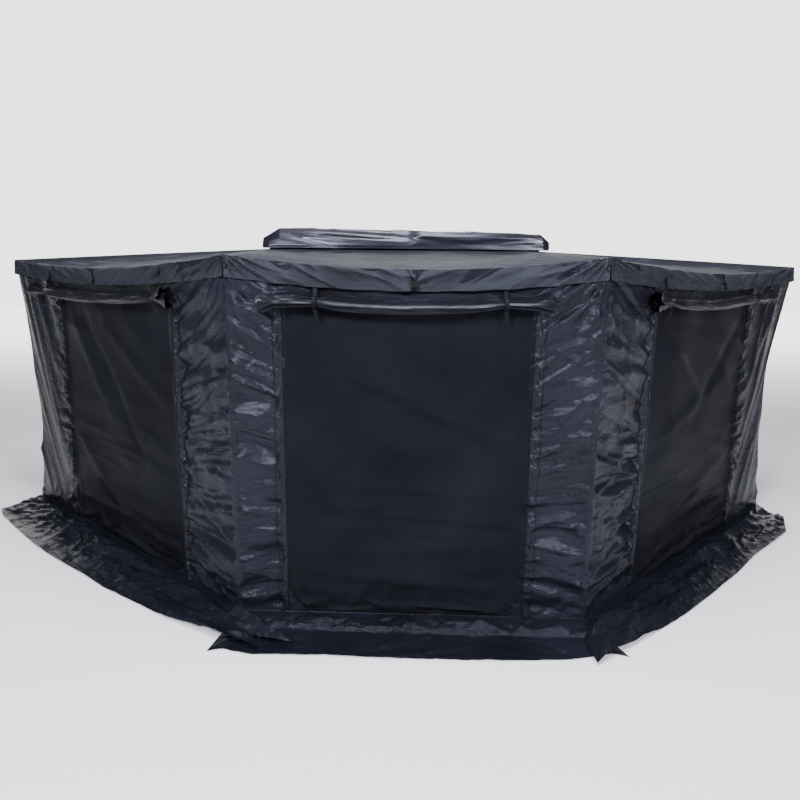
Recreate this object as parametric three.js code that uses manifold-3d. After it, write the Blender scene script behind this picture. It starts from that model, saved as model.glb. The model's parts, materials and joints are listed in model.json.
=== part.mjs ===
// A vehicle side awning, opened out. A long aluminium back plate carries two hubs. Each hub swings
// a front arm and an outer arm, and each arm stows a folding, telescoping leg. The canopy has three
// sectors and a short hanging edge, with three zip-on walls, their doors and their ground skirts.
// Millimetres. X runs along the vehicle, Y points at the vehicle, Z is up, and the ground is at
// zero until the last lines, which put the origin on the middle rack bracket.
import * as THREE from "three";
import { mergeVertices } from "three/addons/utils/BufferGeometryUtils.js";
import Module from "manifold-3d";

const wasm = await Module();
wasm.setup();

const { degToRad, lerp } = THREE.MathUtils;

// Fits and cloth
const SEAT_GAP = 0.3;
const OVERRUN = 2;
const CLOTH = 2;

// Canopy
const CANOPY_CORNER_HEIGHT = 2000;
const CANOPY_RISE = 112;
const CANOPY_OVER_ARM = 8;
const CANOPY_EDGE_OFFSET = 62;
const CANOPY_TIP_OVERHANG = 30;
const CANOPY_APEX_WIDTH = 70;
const SEAM_INSET = 0.6;
const FRONT_SAG = 66;
const SIDE_SAG = 66;
const BACK_EDGE_BOW = 26;
const VALANCE_DROP = 122;
const VALANCE_FLARE = 16;
const VALANCE_FOLD = 7;
const VALANCE_FOLD_PITCH = 235;
const VALANCE_END_SHARE = 1 / 6;
const ROOF_CREASE = 5;
const ROOF_CREASES = 3;

// Arms and hubs
const ARM_REACH = 2010;
const ARM_TIP_OVERHANG = 22;
const ARM_WIDTH = 42;
const ARM_HEIGHT = 45;
const ARM_WALL = 3;
const ARM_RIB = 1.5;
const ARM_BOSS_RADIUS = 21;
const ARM_SLOT_LENGTH = 150;
const ARM_SLOT_WIDTH = 12;
const ARM_SLOT_COUNT = 4;
const LANE_PITCH = 48;
const FIRST_LANE = 58;
const FRONT_PIN_INSET = 93;
const OUTER_PIN_INSET = 41;
const FRONT_ARM_TOE_IN = degToRad(2.5);
const HUB_PLATE = 6;
const HUB_PLATE_GAP = 2;
const HUB_BOSS_RADIUS = 22.5;
const HUB_FLANGE = 8;
const HUB_FLANGE_RISE = 26;
const HUB_FOOT_WIDTH = 78;
const HUB_FOOT_INSET = 10;
const HUB_WEB = 7;
const HUB_WEB_STOP = 38;
const PIN_RADIUS = 6;
const PIN_HEAD_RADIUS = 11;
const PIN_HEAD = 7;

// Back plate and rack brackets
const PLATE_LENGTH = 2256;
const PLATE_WEB = 4;
const PLATE_DROP = 24;
const PLATE_LIP = 15;
const RAIL_RADIUS = 10;
const RAIL_BORE_RADIUS = 6.5;
const RAIL_MOUTH = degToRad(54);
const TSLOT_HEIGHT = 30;
const TSLOT_DEPTH = 15;
const TSLOT_MOUTH = 12;
const TSLOT_WALL = 3;
const TSLOT_INSET = 34;
const BRACKET_WIDTH = 74;
const BRACKET_PLATE = 6;
const BRACKET_REACH = 118;
const BRACKET_SPACING = 880;
const BRACKET_GUSSET = 46;
const BRACKET_RISE = 44;
const BRACKET_SLOT_LENGTH = 58;
const BRACKET_SLOT_WIDTH = 9;
const BRACKET_SLOT_SPACING = 38;
const BOLT_HEAD_RADIUS = 8;
const BOLT_HEAD = 5.5;

// Legs, stowed in the arms
const LEG_PIVOT_DROP = 24;
const LEG_RADIUS = 14;
const LEG_OUTER_LENGTH = 1000;
const LEG_INNER_RADIUS = 12;
const LEG_INNER_WALL = 1.6;
const LEG_INNER_EXTRA = 50;
const LEG_STOWED_FOOT = 187;
const LEG_PLUG_LENGTH = 54;
const LEG_BOLT_RADIUS = 4;
const LEG_BOLT_HEAD_RADIUS = 7.5;
const LEG_BOLT_HEAD = 3.5;
const COLLAR_LENGTH = 46;
const COLLAR_RADIUS = 16.5;
const COLLAR_LUG_DEPTH = 9;
const COLLAR_LUG_WIDTH = 22;
const COLLAR_LUG_WALL = 5;
const COLLAR_RIM = 5;
const LEVER_LENGTH = 58;
const LEVER_THICKNESS = 4.5;
const LEVER_HUB_RADIUS = 5;
const LEVER_CURL = 6;
const FOOT_LENGTH = 26;
const FOOT_RADIUS = 16.5;
const FOOT_SOCKET = 17;
const FOOT_LUG_REACH = 40;
const FOOT_LUG_WIDTH = 22;
const FOOT_LUG_THICKNESS = 5;
const FOOT_PEG_RADIUS = 5.5;

// Walls, doors, rolled flaps and skirts
const WALL_INSET = 8;
const WALL_TOP_GAP = 0.6;
const WALL_HEM_HEIGHT = 34;
const WALL_FOLD = 12;
const WALL_FOLD_PITCH = 720;
const WALL_EDGE_FADE = 170;
const WALL_SEWN_INSET = 1;
const FREE_EDGE_TOP = 10;
const LEFT_EDGE_WAIST = 175;
const LEFT_EDGE_FOOT = 60;
const RIGHT_EDGE_WAIST = 330;
const RIGHT_EDGE_FOOT = 200;
const ZIP_OFFSET = 10;
const DOOR_GAP = 0.6;
const DOOR_TOP = 1742;
const DOOR_BOTTOM = 62;
const DOOR_CORNER = 170;
const SKIRT_WIDTH = 372;
const SKIRT_RISE_WIDTH = 90;
const SKIRT_HEIGHT = 2;
const SKIRT_FRONT_LIFT = 9;
const SKIRT_WAVE = 5;
const SKIRT_WAVE_PITCH = 290;
const SKIRT_TIP_ANGLE = degToRad(11);
const ROLL_RADIUS = 50;
const ROLL_TIE_SHARE = 0.62;
const ROLL_TIE_HALF_WIDTH = 90;
const ROLL_RISE = 24;
const ROLL_SAG = 22;

// Travel cover
const COVER_OVERHANG = 22;
const COVER_TAPER = 130;
const COVER_HEIGHT = 138;
const COVER_DEPTH = 132;
const COVER_FRONT = 52;
const COVER_RIPPLE = 5;
const COVER_RIPPLE_PITCH = 310;

// Zip sliders, valance buckles and corner buckles
const SLIDER_WIDTH = 13;
const SLIDER_LENGTH = 20;
const SLIDER_DEPTH = 6;
const SLIDER_WAIST = 8;
const TAB_WIDTH = 9;
const TAB_LENGTH = 46;
const TAB_THICKNESS = 2.5;
const BUCKLE_WIDTH = 40;
const BUCKLE_LENGTH = 56;
const BUCKLE_DEPTH = 9;
const BUCKLE_CORNER = 6;
const BUCKLE_SLOT = 6;
const BUCKLE_RIM = 5;
const BUCKLE_DROP = 48;
const STRAP_THICKNESS = 2.5;
const STRAP_WIDTH = 25;
const STRAP_BURIED = 20;
const RING_RADIUS = 17;
const RING_WIRE = 3;
const RING_STRAP = 34;

// Doors, rolls, ties and zip sliders: shares of their wall's length, and of the door's height.
const SIDE_SHARES = {
  left: { door: [0.286, 0.809], roll: [0.115, 0.826], ties: [0.233, 0.786], zip: 0.66 },
  front: { door: [0.156, 0.811], roll: [0.103, 0.85], ties: [0.24, 0.7375], zip: 0.83 },
  right: { door: [0.19, 0.675], roll: [0.154, 0.82], ties: [0.217, 0.666], zip: 0.7 },
};

// Facets
const ROUND_SIDES = 16;
const SMALL_SIDES = 12;
const EYE_SIDES = 8;
const HEX_SIDES = 6;
const ARC_STEPS = 3;
const SOFT_CORNER_STEPS = 5;

// Places that follow from the sizes
const CANOPY_RAIL_HEIGHT = CANOPY_CORNER_HEIGHT + CANOPY_RISE;
const ROLL_HEIGHT = DOOR_TOP + ROLL_RISE;
const ARM_TOP = CANOPY_CORNER_HEIGHT - CLOTH / 2 - CANOPY_OVER_ARM;
const ARM_BOTTOM = ARM_TOP - ARM_HEIGHT;
const LEG_PIVOT_HEIGHT = ARM_TOP - LEG_PIVOT_DROP;
const LEG_INNER_LENGTH = LEG_OUTER_LENGTH + LEG_INNER_EXTRA;
const LEG_TRAVEL = LEG_PIVOT_HEIGHT - LEG_OUTER_LENGTH - LEG_STOWED_FOOT;
const FRONT_PIN_X = PLATE_LENGTH / 2 - FRONT_PIN_INSET;
const OUTER_PIN_X = PLATE_LENGTH / 2 - OUTER_PIN_INSET;
const HUB_FOOT_END_X = PLATE_LENGTH / 2 - HUB_FOOT_INSET;
const COVER_LENGTH = PLATE_LENGTH + 2 * COVER_OVERHANG;
const PLATE_BOTTOM = ARM_BOTTOM - PLATE_DROP;
const PLATE_TOP = CANOPY_RAIL_HEIGHT + RAIL_RADIUS;
const TSLOT_BACK = PLATE_WEB + TSLOT_DEPTH;
const WALL_LINE_OFFSET = CANOPY_EDGE_OFFSET - WALL_INSET;

// The four arms: which side they serve, where their pin stands and where they point when open.
const ARMS = [
  { name: "left_front", pin: [-FRONT_PIN_X, -FIRST_LANE], turn: -Math.PI / 2 + FRONT_ARM_TOE_IN },
  { name: "left_outer", pin: [-OUTER_PIN_X, -FIRST_LANE - LANE_PITCH], turn: Math.PI },
  {
    name: "right_front",
    pin: [FRONT_PIN_X, -FIRST_LANE - 2 * LANE_PITCH],
    turn: -Math.PI / 2 - FRONT_ARM_TOE_IN,
  },
  { name: "right_outer", pin: [OUTER_PIN_X, -FIRST_LANE - 3 * LANE_PITCH], turn: 0 },
];

const COLOURS = {
  aluminium: ["#54575c", 0.42, 0.85],
  steel: ["#8d9095", 0.35, 0.95],
  bracket: ["#1c1d20", 0.5, 0.6],
  plastic: ["#141517", 0.55, 0],
  roof: ["#33353c", 0.6, 0],
  wall: ["#2c2d38", 0.72, 0],
  door: ["#171a1f", 0.8, 0],
  flap: ["#23252b", 0.7, 0],
  skirt: ["#1d1f28", 0.62, 0],
  cover: ["#2b2b2f", 0.3, 0],
};

const awning = new THREE.Group();

function node(name, geometry, colour, parent = awning) {
  const [hex, roughness, metalness] = COLOURS[colour];
  const material = new THREE.MeshStandardMaterial({ color: hex, roughness, metalness });
  const mesh = new THREE.Mesh(geometry, material);
  mesh.name = name;
  parent.add(mesh);
  return mesh;
}

// Solids: geometries become manifolds to be joined and cut, and come back as geometries.
function solid(geometry) {
  const bare = geometry.index ? geometry.toNonIndexed() : geometry.clone();
  bare.deleteAttribute("normal");
  bare.deleteAttribute("uv");
  const merged = mergeVertices(bare);
  const vertProperties = merged.attributes.position.array;
  const triVerts = new Uint32Array(merged.index.array);
  return new wasm.Manifold(new wasm.Mesh({ numProp: 3, vertProperties, triVerts }));
}

function fromSolid(made) {
  const mesh = made.getMesh();
  const geometry = new THREE.BufferGeometry();
  geometry.setAttribute("position", new THREE.BufferAttribute(mesh.vertProperties, 3));
  geometry.setIndex(new THREE.BufferAttribute(mesh.triVerts, 1));
  geometry.computeVertexNormals();
  return geometry;
}

function join(first, ...others) {
  return fromSolid(others.reduce((sum, other) => sum.add(solid(other)), solid(first)));
}

function cut(first, ...tools) {
  return fromSolid(tools.reduce((left, tool) => left.subtract(solid(tool)), solid(first)));
}

function common(first, second) {
  return fromSolid(solid(first).intersect(solid(second)));
}

function block(low, high) {
  const size = high.map((value, i) => value - low[i]);
  const centre = high.map((value, i) => (value + low[i]) / 2);
  return new THREE.BoxGeometry(...size).translate(...centre);
}

// A cylinder that runs along an axis from one place to another.
function rod(axis, from, to, across, radius, sides = ROUND_SIDES) {
  const made = new THREE.CylinderGeometry(radius, radius, to - from, sides);
  const middle = (from + to) / 2;
  if (axis === "x") return made.rotateZ(-Math.PI / 2).translate(middle, across[0], across[1]);
  if (axis === "y") return made.translate(across[0], middle, across[1]);
  return made.rotateX(Math.PI / 2).translate(across[0], across[1], middle);
}

// A flat outline with a thickness. Outlines are lists of pairs.
function plate(outline, thickness) {
  const shape = new THREE.Shape(outline.map(([x, y]) => new THREE.Vector2(x, y)));
  return new THREE.ExtrudeGeometry(shape, { depth: thickness, bevelEnabled: false });
}

// An outline of across and up pairs, drawn along X from one place to another.
function bar(outline, from, to) {
  const made = plate(outline, to - from);
  return made.rotateX(Math.PI / 2).rotateZ(Math.PI / 2).translate(from, 0, 0);
}

function arc(centre, radius, start, end, steps = ARC_STEPS) {
  return Array.from({ length: steps + 1 }, (unused, i) => {
    const angle = lerp(start, end, i / steps);
    return [centre[0] + radius * Math.cos(angle), centre[1] + radius * Math.sin(angle)];
  });
}

// The convex outline round a set of circles and points.
function hullOf(points) {
  const sorted = [...points].sort((a, b) => a[0] - b[0] || a[1] - b[1]);
  const turn = (o, a, b) => (a[0] - o[0]) * (b[1] - o[1]) - (a[1] - o[1]) * (b[0] - o[0]);
  const half = (list) =>
    list.reduce((chain, p) => {
      while (chain.length > 1 && turn(chain.at(-2), chain.at(-1), p) <= 0) chain.pop();
      return [...chain, p];
    }, []);
  const lower = half(sorted);
  const upper = half([...sorted].reverse());
  return [...lower.slice(0, -1), ...upper.slice(0, -1)];
}

function slotOutline(centre, length, width) {
  const run = (length - width) / 2;
  return [
    ...arc([centre[0] + run, centre[1]], width / 2, -Math.PI / 2, Math.PI / 2),
    ...arc([centre[0] - run, centre[1]], width / 2, Math.PI / 2, (3 * Math.PI) / 2),
  ];
}

function roundedRectangle(left, right, low, high, corner, steps = ARC_STEPS) {
  return [
    ...arc([right - corner, high - corner], corner, 0, Math.PI / 2, steps),
    ...arc([left + corner, high - corner], corner, Math.PI / 2, Math.PI, steps),
    ...arc([left + corner, low + corner], corner, Math.PI, (3 * Math.PI) / 2, steps),
    ...arc([right - corner, low + corner], corner, -Math.PI / 2, 0, steps),
  ];
}

function closedGeometry(points, faces) {
  const geometry = new THREE.BufferGeometry();
  geometry.setAttribute("position", new THREE.Float32BufferAttribute(points.flat(), 3));
  geometry.setIndex(faces.flat());
  return geometry;
}

// Cloth: a grid of points from a formula, thickened to both sides along its own normals.
// across runs along the first index and down along the second, with the outside on the left of across.
function cloth(pointAt, columns, rows, thickness = CLOTH) {
  const place = (i, j) => new THREE.Vector3(...pointAt(i / columns, j / rows));
  const grid = Array.from({ length: columns + 1 }, (a, i) =>
    Array.from({ length: rows + 1 }, (b, j) => place(i, j)),
  );
  const step = (list, k) => list[Math.min(Math.max(k, 0), list.length - 1)];
  const normal = (i, j) => {
    const across = step(grid, i + 1)[j].clone().sub(step(grid, i - 1)[j]);
    const down = step(grid[i], j + 1).clone().sub(step(grid[i], j - 1));
    return down.cross(across).normalize();
  };
  const points = [];
  for (const side of [1, -1])
    for (let i = 0; i <= columns; i++)
      for (let j = 0; j <= rows; j++)
        points.push(grid[i][j].clone().addScaledVector(normal(i, j), (side * thickness) / 2).toArray());
  const layer = (columns + 1) * (rows + 1);
  const at = (i, j, side) => side * layer + i * (rows + 1) + j;
  const faces = [];
  const quad = (a, b, c, d) => faces.push([a, b, c], [a, c, d]);
  for (let i = 0; i < columns; i++)
    for (let j = 0; j < rows; j++) {
      quad(at(i, j, 0), at(i, j + 1, 0), at(i + 1, j + 1, 0), at(i + 1, j, 0));
      quad(at(i, j, 1), at(i + 1, j, 1), at(i + 1, j + 1, 1), at(i, j + 1, 1));
    }
  for (let i = 0; i < columns; i++) {
    quad(at(i, 0, 0), at(i + 1, 0, 0), at(i + 1, 0, 1), at(i, 0, 1));
    quad(at(i, rows, 0), at(i, rows, 1), at(i + 1, rows, 1), at(i + 1, rows, 0));
  }
  for (let j = 0; j < rows; j++) {
    quad(at(0, j, 0), at(0, j, 1), at(0, j + 1, 1), at(0, j + 1, 0));
    quad(at(columns, j, 0), at(columns, j + 1, 0), at(columns, j + 1, 1), at(columns, j, 1));
  }
  return closedGeometry(points, faces);
}

// A closed body through rings of points, each ring a loop round the run of the body.
function loft(ringAt, rings, sides) {
  const points = [];
  for (let i = 0; i <= rings; i++)
    for (let j = 0; j < sides; j++) points.push(ringAt(i / rings, (j / sides) * 2 * Math.PI));
  const middle = (i) => {
    const ring = points.slice(i * sides, (i + 1) * sides);
    return [0, 1, 2].map((k) => ring.reduce((sum, p) => sum + p[k], 0) / sides);
  };
  const at = (i, j) => i * sides + (j % sides);
  const start = points.length;
  points.push(middle(0), middle(rings));
  const faces = [];
  for (let i = 0; i < rings; i++)
    for (let j = 0; j < sides; j++)
      faces.push([at(i, j), at(i + 1, j), at(i + 1, j + 1)], [at(i, j), at(i + 1, j + 1), at(i, j + 1)]);
  for (let j = 0; j < sides; j++) {
    faces.push([start, at(0, j), at(0, j + 1)]);
    faces.push([start + 1, at(rings, j + 1), at(rings, j)]);
  }
  return closedGeometry(points, faces);
}

// The plan of the opened awning: leg lines, canopy corners and wall lines.
const armTip = ({ pin, turn }, reach) => [
  pin[0] + reach * Math.cos(turn),
  pin[1] + reach * Math.sin(turn),
];
const [LEG_FL, LEG_BL, LEG_FR, LEG_BR] = ARMS.map((arm) => armTip(arm, ARM_REACH));

function wallLine(from, to, offset) {
  const run = [to[0] - from[0], to[1] - from[1]];
  const length = Math.hypot(...run);
  const along = [run[0] / length, run[1] / length];
  const out = [along[1], -along[0]];
  const start = [from[0] + out[0] * offset, from[1] + out[1] * offset];
  return { start, along, out, length };
}

function crossing(a, b) {
  const det = a.along[1] * b.along[0] - a.along[0] * b.along[1];
  const gap = [b.start[0] - a.start[0], b.start[1] - a.start[1]];
  const run = (gap[1] * b.along[0] - gap[0] * b.along[1]) / det;
  return [a.start[0] + a.along[0] * run, a.start[1] + a.along[1] * run];
}

// The three sides at some distance outside the legs, each with its two corners.
function sidesAt(offset) {
  const left = wallLine(LEG_BL, LEG_FL, offset);
  const front = wallLine(LEG_FL, LEG_FR, offset);
  const right = wallLine(LEG_FR, LEG_BR, offset);
  const run = (line, s) => [line.start[0] + line.along[0] * s, line.start[1] + line.along[1] * s];
  const corners = {
    backLeft: run(left, -CANOPY_TIP_OVERHANG),
    frontLeft: crossing(left, front),
    frontRight: crossing(front, right),
    backRight: run(right, right.length + CANOPY_TIP_OVERHANG),
  };
  const side = (line, from, to) => ({
    from,
    to,
    along: line.along,
    out: line.out,
    length: Math.hypot(to[0] - from[0], to[1] - from[1]),
  });
  return {
    left: side(left, corners.backLeft, corners.frontLeft),
    front: side(front, corners.frontLeft, corners.frontRight),
    right: side(right, corners.frontRight, corners.backRight),
  };
}

const CANOPY_SIDES = sidesAt(CANOPY_EDGE_OFFSET);
const WALL_SIDES = sidesAt(WALL_LINE_OFFSET);
const SAGS = { left: SIDE_SAG, front: FRONT_SAG, right: SIDE_SAG };

const bow = (share) => 4 * share * (1 - share);

function onSide(side, run, out, height) {
  return [
    side.from[0] + side.along[0] * run + side.out[0] * out,
    side.from[1] + side.along[1] * run + side.out[1] * out,
    height,
  ];
}

// Canopy sectors. The roof runs from the back plate's rail to the outer edge and turns down there.
const CANOPY_COLUMNS = 16;
const ROOF_ROWS = 5;
const VALANCE_ROWS = 2;

function canopyCloth(sideName, innerAt, bowAt = () => 0) {
  const side = CANOPY_SIDES[sideName];
  const edge = (across, out, drop) => {
    const run = lerp(SEAM_INSET, side.length - SEAM_INSET, across);
    const height = CANOPY_CORNER_HEIGHT - SAGS[sideName] * bow(across) - drop;
    return onSide(side, run, out, height);
  };
  const rows = ROOF_ROWS + VALANCE_ROWS;
  return cloth(
    (across, down) => {
      const row = Math.round(down * rows);
      if (row > ROOF_ROWS) {
        const share = (row - ROOF_ROWS) / VALANCE_ROWS;
        const wave = Math.cos((2 * Math.PI * (across - 1 / 2) * side.length) / VALANCE_FOLD_PITCH);
        const fade = Math.min(1, Math.min(across, 1 - across) / VALANCE_END_SHARE);
        const out = share * (VALANCE_FLARE + VALANCE_FOLD * wave * fade);
        return edge(across, out, VALANCE_DROP * share);
      }
      const share = row / ROOF_ROWS;
      const inner = innerAt(across);
      const outer = edge(across, 0, 0);
      const crease = ROOF_CREASE * bow(share) * Math.cos(2 * Math.PI * ROOF_CREASES * across);
      const drawn = [0, BACK_EDGE_BOW * bow(share) * bowAt(across), crease];
      return [0, 1, 2].map((k) => lerp(inner[k], outer[k], share) - drawn[k]);
    },
    CANOPY_COLUMNS,
    rows,
  );
}

const HALF_PLATE = PLATE_LENGTH / 2;
const RAIL_SEAT = -RAIL_BORE_RADIUS / 2;

function centreInner(across) {
  return [lerp(-HALF_PLATE, HALF_PLATE, across), RAIL_SEAT, CANOPY_RAIL_HEIGHT];
}

// A side sector starts in a narrow edge beside the plate's end, which keeps clear of the seam.
function sideInner(handed) {
  const seam = handed < 0 ? CANOPY_SIDES.left.to : CANOPY_SIDES.right.from;
  const rise = CANOPY_CORNER_HEIGHT - CANOPY_RAIL_HEIGHT;
  const start = [handed * HALF_PLATE, RAIL_SEAT];
  const seamLength = Math.hypot(seam[0] - start[0], seam[1] - start[1]);
  const share = CANOPY_APEX_WIDTH / seamLength;
  const low = [
    lerp(start[0], seam[0], share) + handed * SEAM_INSET,
    lerp(start[1], seam[1], share),
    CANOPY_RAIL_HEIGHT + rise * share,
  ];
  const high = [handed * (HALF_PLATE + CLOTH), RAIL_SEAT, CANOPY_RAIL_HEIGHT];
  return (across) => {
    const fromSeam = handed < 0 ? 1 - across : across;
    return low.map((value, k) => lerp(value, high[k], fromSeam));
  };
}

function makeCanopy() {
  const beadRadius = RAIL_BORE_RADIUS - SEAT_GAP;
  const bead = rod("x", -HALF_PLATE, HALF_PLATE, [0, CANOPY_RAIL_HEIGHT], beadRadius, SMALL_SIDES);
  node("canopy_centre", join(canopyCloth("front", centreInner), bead), "roof");
  node("canopy_left", canopyCloth("left", sideInner(-1), (across) => (1 - across) ** 2), "roof");
  node("canopy_right", canopyCloth("right", sideInner(1), (across) => across ** 2), "roof");
}

// Walls. Each has a free or sewn edge at both ends, main folds and an opening for its door.
const WALL_COLUMNS = 18;
const WALL_ROWS = 9;
const SEWN = { top: WALL_SEWN_INSET, waist: WALL_SEWN_INSET, foot: WALL_SEWN_INSET };
const WALLS = {
  left: {
    start: { top: FREE_EDGE_TOP, waist: LEFT_EDGE_WAIST, foot: LEFT_EDGE_FOOT },
    end: SEWN,
    zipAt: (door) => door[1] + ZIP_OFFSET,
  },
  front: { start: SEWN, end: SEWN, zipAt: (door) => door[0] - ZIP_OFFSET },
  right: {
    start: SEWN,
    end: { top: FREE_EDGE_TOP, waist: RIGHT_EDGE_WAIST, foot: RIGHT_EDGE_FOOT },
    zipAt: (door) => door[0] - ZIP_OFFSET,
  },
};

// Where a wall's door, roll, ties and zip lie, in lengths along the wall.
function layout(name) {
  const { length } = WALL_SIDES[name];
  const shares = SIDE_SHARES[name];
  const runs = (pair) => pair.map((share) => share * length);
  const door = runs(shares.door);
  return { door, roll: runs(shares.roll), ties: runs(shares.ties), zip: WALLS[name].zipAt(door) };
}

// How far an end of the wall is drawn in at a share of its height.
function drawnIn(end, upShare) {
  const base = lerp(end.foot, end.top, upShare);
  const mid = end.waist - (end.foot + end.top) / 2;
  return base + mid * bow(upShare);
}

function wallTop(name, run, length) {
  return CANOPY_CORNER_HEIGHT - SAGS[name] * bow(run / length) - CLOTH / 2 - WALL_TOP_GAP;
}

// The wall's drape: slow vertical folds that fall inward from below the rolled flap, and that fade
// at its corners and beside the zip, where the cloth hangs straight.
function wallFold(name, run, height, length) {
  const fadeEnds = Math.min(1, run / WALL_EDGE_FADE, (length - run) / WALL_EDGE_FADE);
  const fromZip = Math.abs(run - layout(name).zip) / WALL_EDGE_FADE;
  const fadeZip = Math.min(1, Math.max(0, fromZip - 1));
  const top = ROLL_HEIGHT - ROLL_SAG - ROLL_RADIUS;
  const downShare = Math.max(0, (top - height) / (top - WALL_HEM_HEIGHT));
  const fadeTop = Math.sin(Math.PI * Math.sqrt(downShare));
  return -WALL_FOLD * fadeEnds * fadeZip * fadeTop * Math.sin((Math.PI * run) / WALL_FOLD_PITCH) ** 2;
}

function wallPoint(name, run, upShare) {
  const side = WALL_SIDES[name];
  const height = lerp(WALL_HEM_HEIGHT, wallTop(name, run, side.length), upShare);
  return onSide(side, run, wallFold(name, run, height, side.length), height);
}

function wallCloth(name) {
  const side = WALL_SIDES[name];
  const { start, end } = WALLS[name];
  return cloth(
    (across, down) => {
      const upShare = 1 - down;
      const run = lerp(drawnIn(start, upShare), side.length - drawnIn(end, upShare), across);
      return wallPoint(name, run, upShare);
    },
    WALL_COLUMNS,
    WALL_ROWS,
  );
}

// The door's outline, with its own gap drawn in, as a tool that runs through the wall.
function doorTool(name, gap) {
  const side = WALL_SIDES[name];
  const { door } = layout(name);
  const low = DOOR_BOTTOM + gap;
  const high = DOOR_TOP - gap;
  const outline = roundedRectangle(door[0] + gap, door[1] - gap, low, high, DOOR_CORNER, SOFT_CORNER_STEPS);
  const reach = WALL_FOLD * 2 + CLOTH;
  const tool = plate(outline, reach * 2).translate(0, 0, -reach).rotateX(Math.PI / 2);
  return tool
    .rotateZ(Math.atan2(side.along[1], side.along[0]))
    .translate(side.from[0], side.from[1], 0);
}

function makeWalls() {
  for (const name of Object.keys(WALLS)) {
    const whole = wallCloth(name);
    node("wall_" + name, cut(whole, doorTool(name, 0)), "wall");
    node("door_" + name, common(whole, doorTool(name, DOOR_GAP)), "door");
  }
}

// Ground skirts: each falls from its wall's hem to the ground and lies out on it.
const SKIRT_COLUMNS = 18;
const SKIRT_ROWS = 4;

function skirtCloth(name) {
  const side = WALL_SIDES[name];
  const atCorner = name === "front" ? SKIRT_TIP_ANGLE : 0;
  const mitre = (Math.PI - cornerAngle()) / 2;
  const { start, end } = WALLS[name];
  const tuck = (corner, drawn, out) => {
    if (!corner) return drawn.foot + CLOTH - out * Math.sin(SKIRT_TIP_ANGLE);
    return CLOTH - out * Math.tan(mitre + atCorner);
  };
  const lift = name === "front" ? SKIRT_FRONT_LIFT : 0;
  return cloth(
    (across, down) => {
      const out = down ** (3 / 2) * SKIRT_WIDTH;
      const low = tuck(name !== "left", start, out);
      const high = side.length - tuck(name !== "right", end, out);
      const run = lerp(low, high, across);
      const rise = Math.max(0, 1 - out / SKIRT_RISE_WIDTH) ** 2;
      const wave = SKIRT_WAVE * Math.sin((2 * Math.PI * run) / SKIRT_WAVE_PITCH) ** 2 * bow(down / 2 + 1 / 4);
      const fade = bow(Math.min(1 / 2, across * 4, (1 - across) * 4));
      const ground = SKIRT_HEIGHT + lift + wave * fade * Math.min(1, down * 2);
      const top = WALL_HEM_HEIGHT - CLOTH / 2 - SEAM_INSET;
      return onSide(side, run, out, lerp(ground, top, rise));
    },
    SKIRT_COLUMNS,
    SKIRT_ROWS,
  );
}

function cornerAngle() {
  const { left, front } = WALL_SIDES;
  const dot = -(left.along[0] * front.along[0] + left.along[1] * front.along[1]);
  return Math.acos(dot);
}

function makeSkirts() {
  for (const name of Object.keys(WALLS)) node("skirt_" + name, skirtCloth(name), "skirt");
}

// The rolled door flaps hang above the doors, drawn tight where they are tied.
const ROLL_LOBE = 17 / 16;
const ROLL_RINGS = 18;

function rollLoft(name) {
  const side = WALL_SIDES[name];
  const { roll, ties } = layout(name);
  return loft(
    (share, angle) => {
      const run = lerp(roll[0], roll[1], share);
      const nearest = Math.min(...ties.map((tie) => Math.abs(run - tie)));
      const loose = Math.min(1, nearest / ROLL_TIE_HALF_WIDTH);
      const radius = ROLL_RADIUS * lerp(ROLL_TIE_SHARE, 1, Math.sin((loose * Math.PI) / 2));
      const between = (run - ties[0]) / (ties[1] - ties[0]);
      const sag = ROLL_SAG * Math.max(0, bow(between));
      const lobe = 1 + (ROLL_LOBE - 1) * Math.cos(3 * angle + share * Math.PI);
      const out = ROLL_RADIUS * ROLL_LOBE + CLOTH / 2 + SEAT_GAP - radius * lobe * Math.sin(angle);
      return onSide(side, run, out, ROLL_HEIGHT - sag + radius * lobe * Math.cos(angle));
    },
    ROLL_RINGS,
    SMALL_SIDES,
  );
}

function makeRolls() {
  for (const name of Object.keys(WALLS)) node("door_roll_" + name, rollLoft(name), "flap");
}

// The back plate's extrusion: a web with a lip below, two bolt channels behind and the cloth rail.
function boltChannel(middle) {
  const half = TSLOT_HEIGHT / 2;
  const mouth = TSLOT_MOUTH / 2;
  const floor = TSLOT_BACK - TSLOT_WALL;
  const upper = [
    [PLATE_WEB, half],
    [TSLOT_BACK, half],
    [TSLOT_BACK, mouth],
    [floor, mouth],
    [floor, half - TSLOT_WALL],
    [PLATE_WEB, half - TSLOT_WALL],
  ];
  const lower = upper.map(([y, z]) => [y, -z]).reverse();
  return [...upper, ...lower].map(([y, z]) => [y, middle + z]);
}

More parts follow.
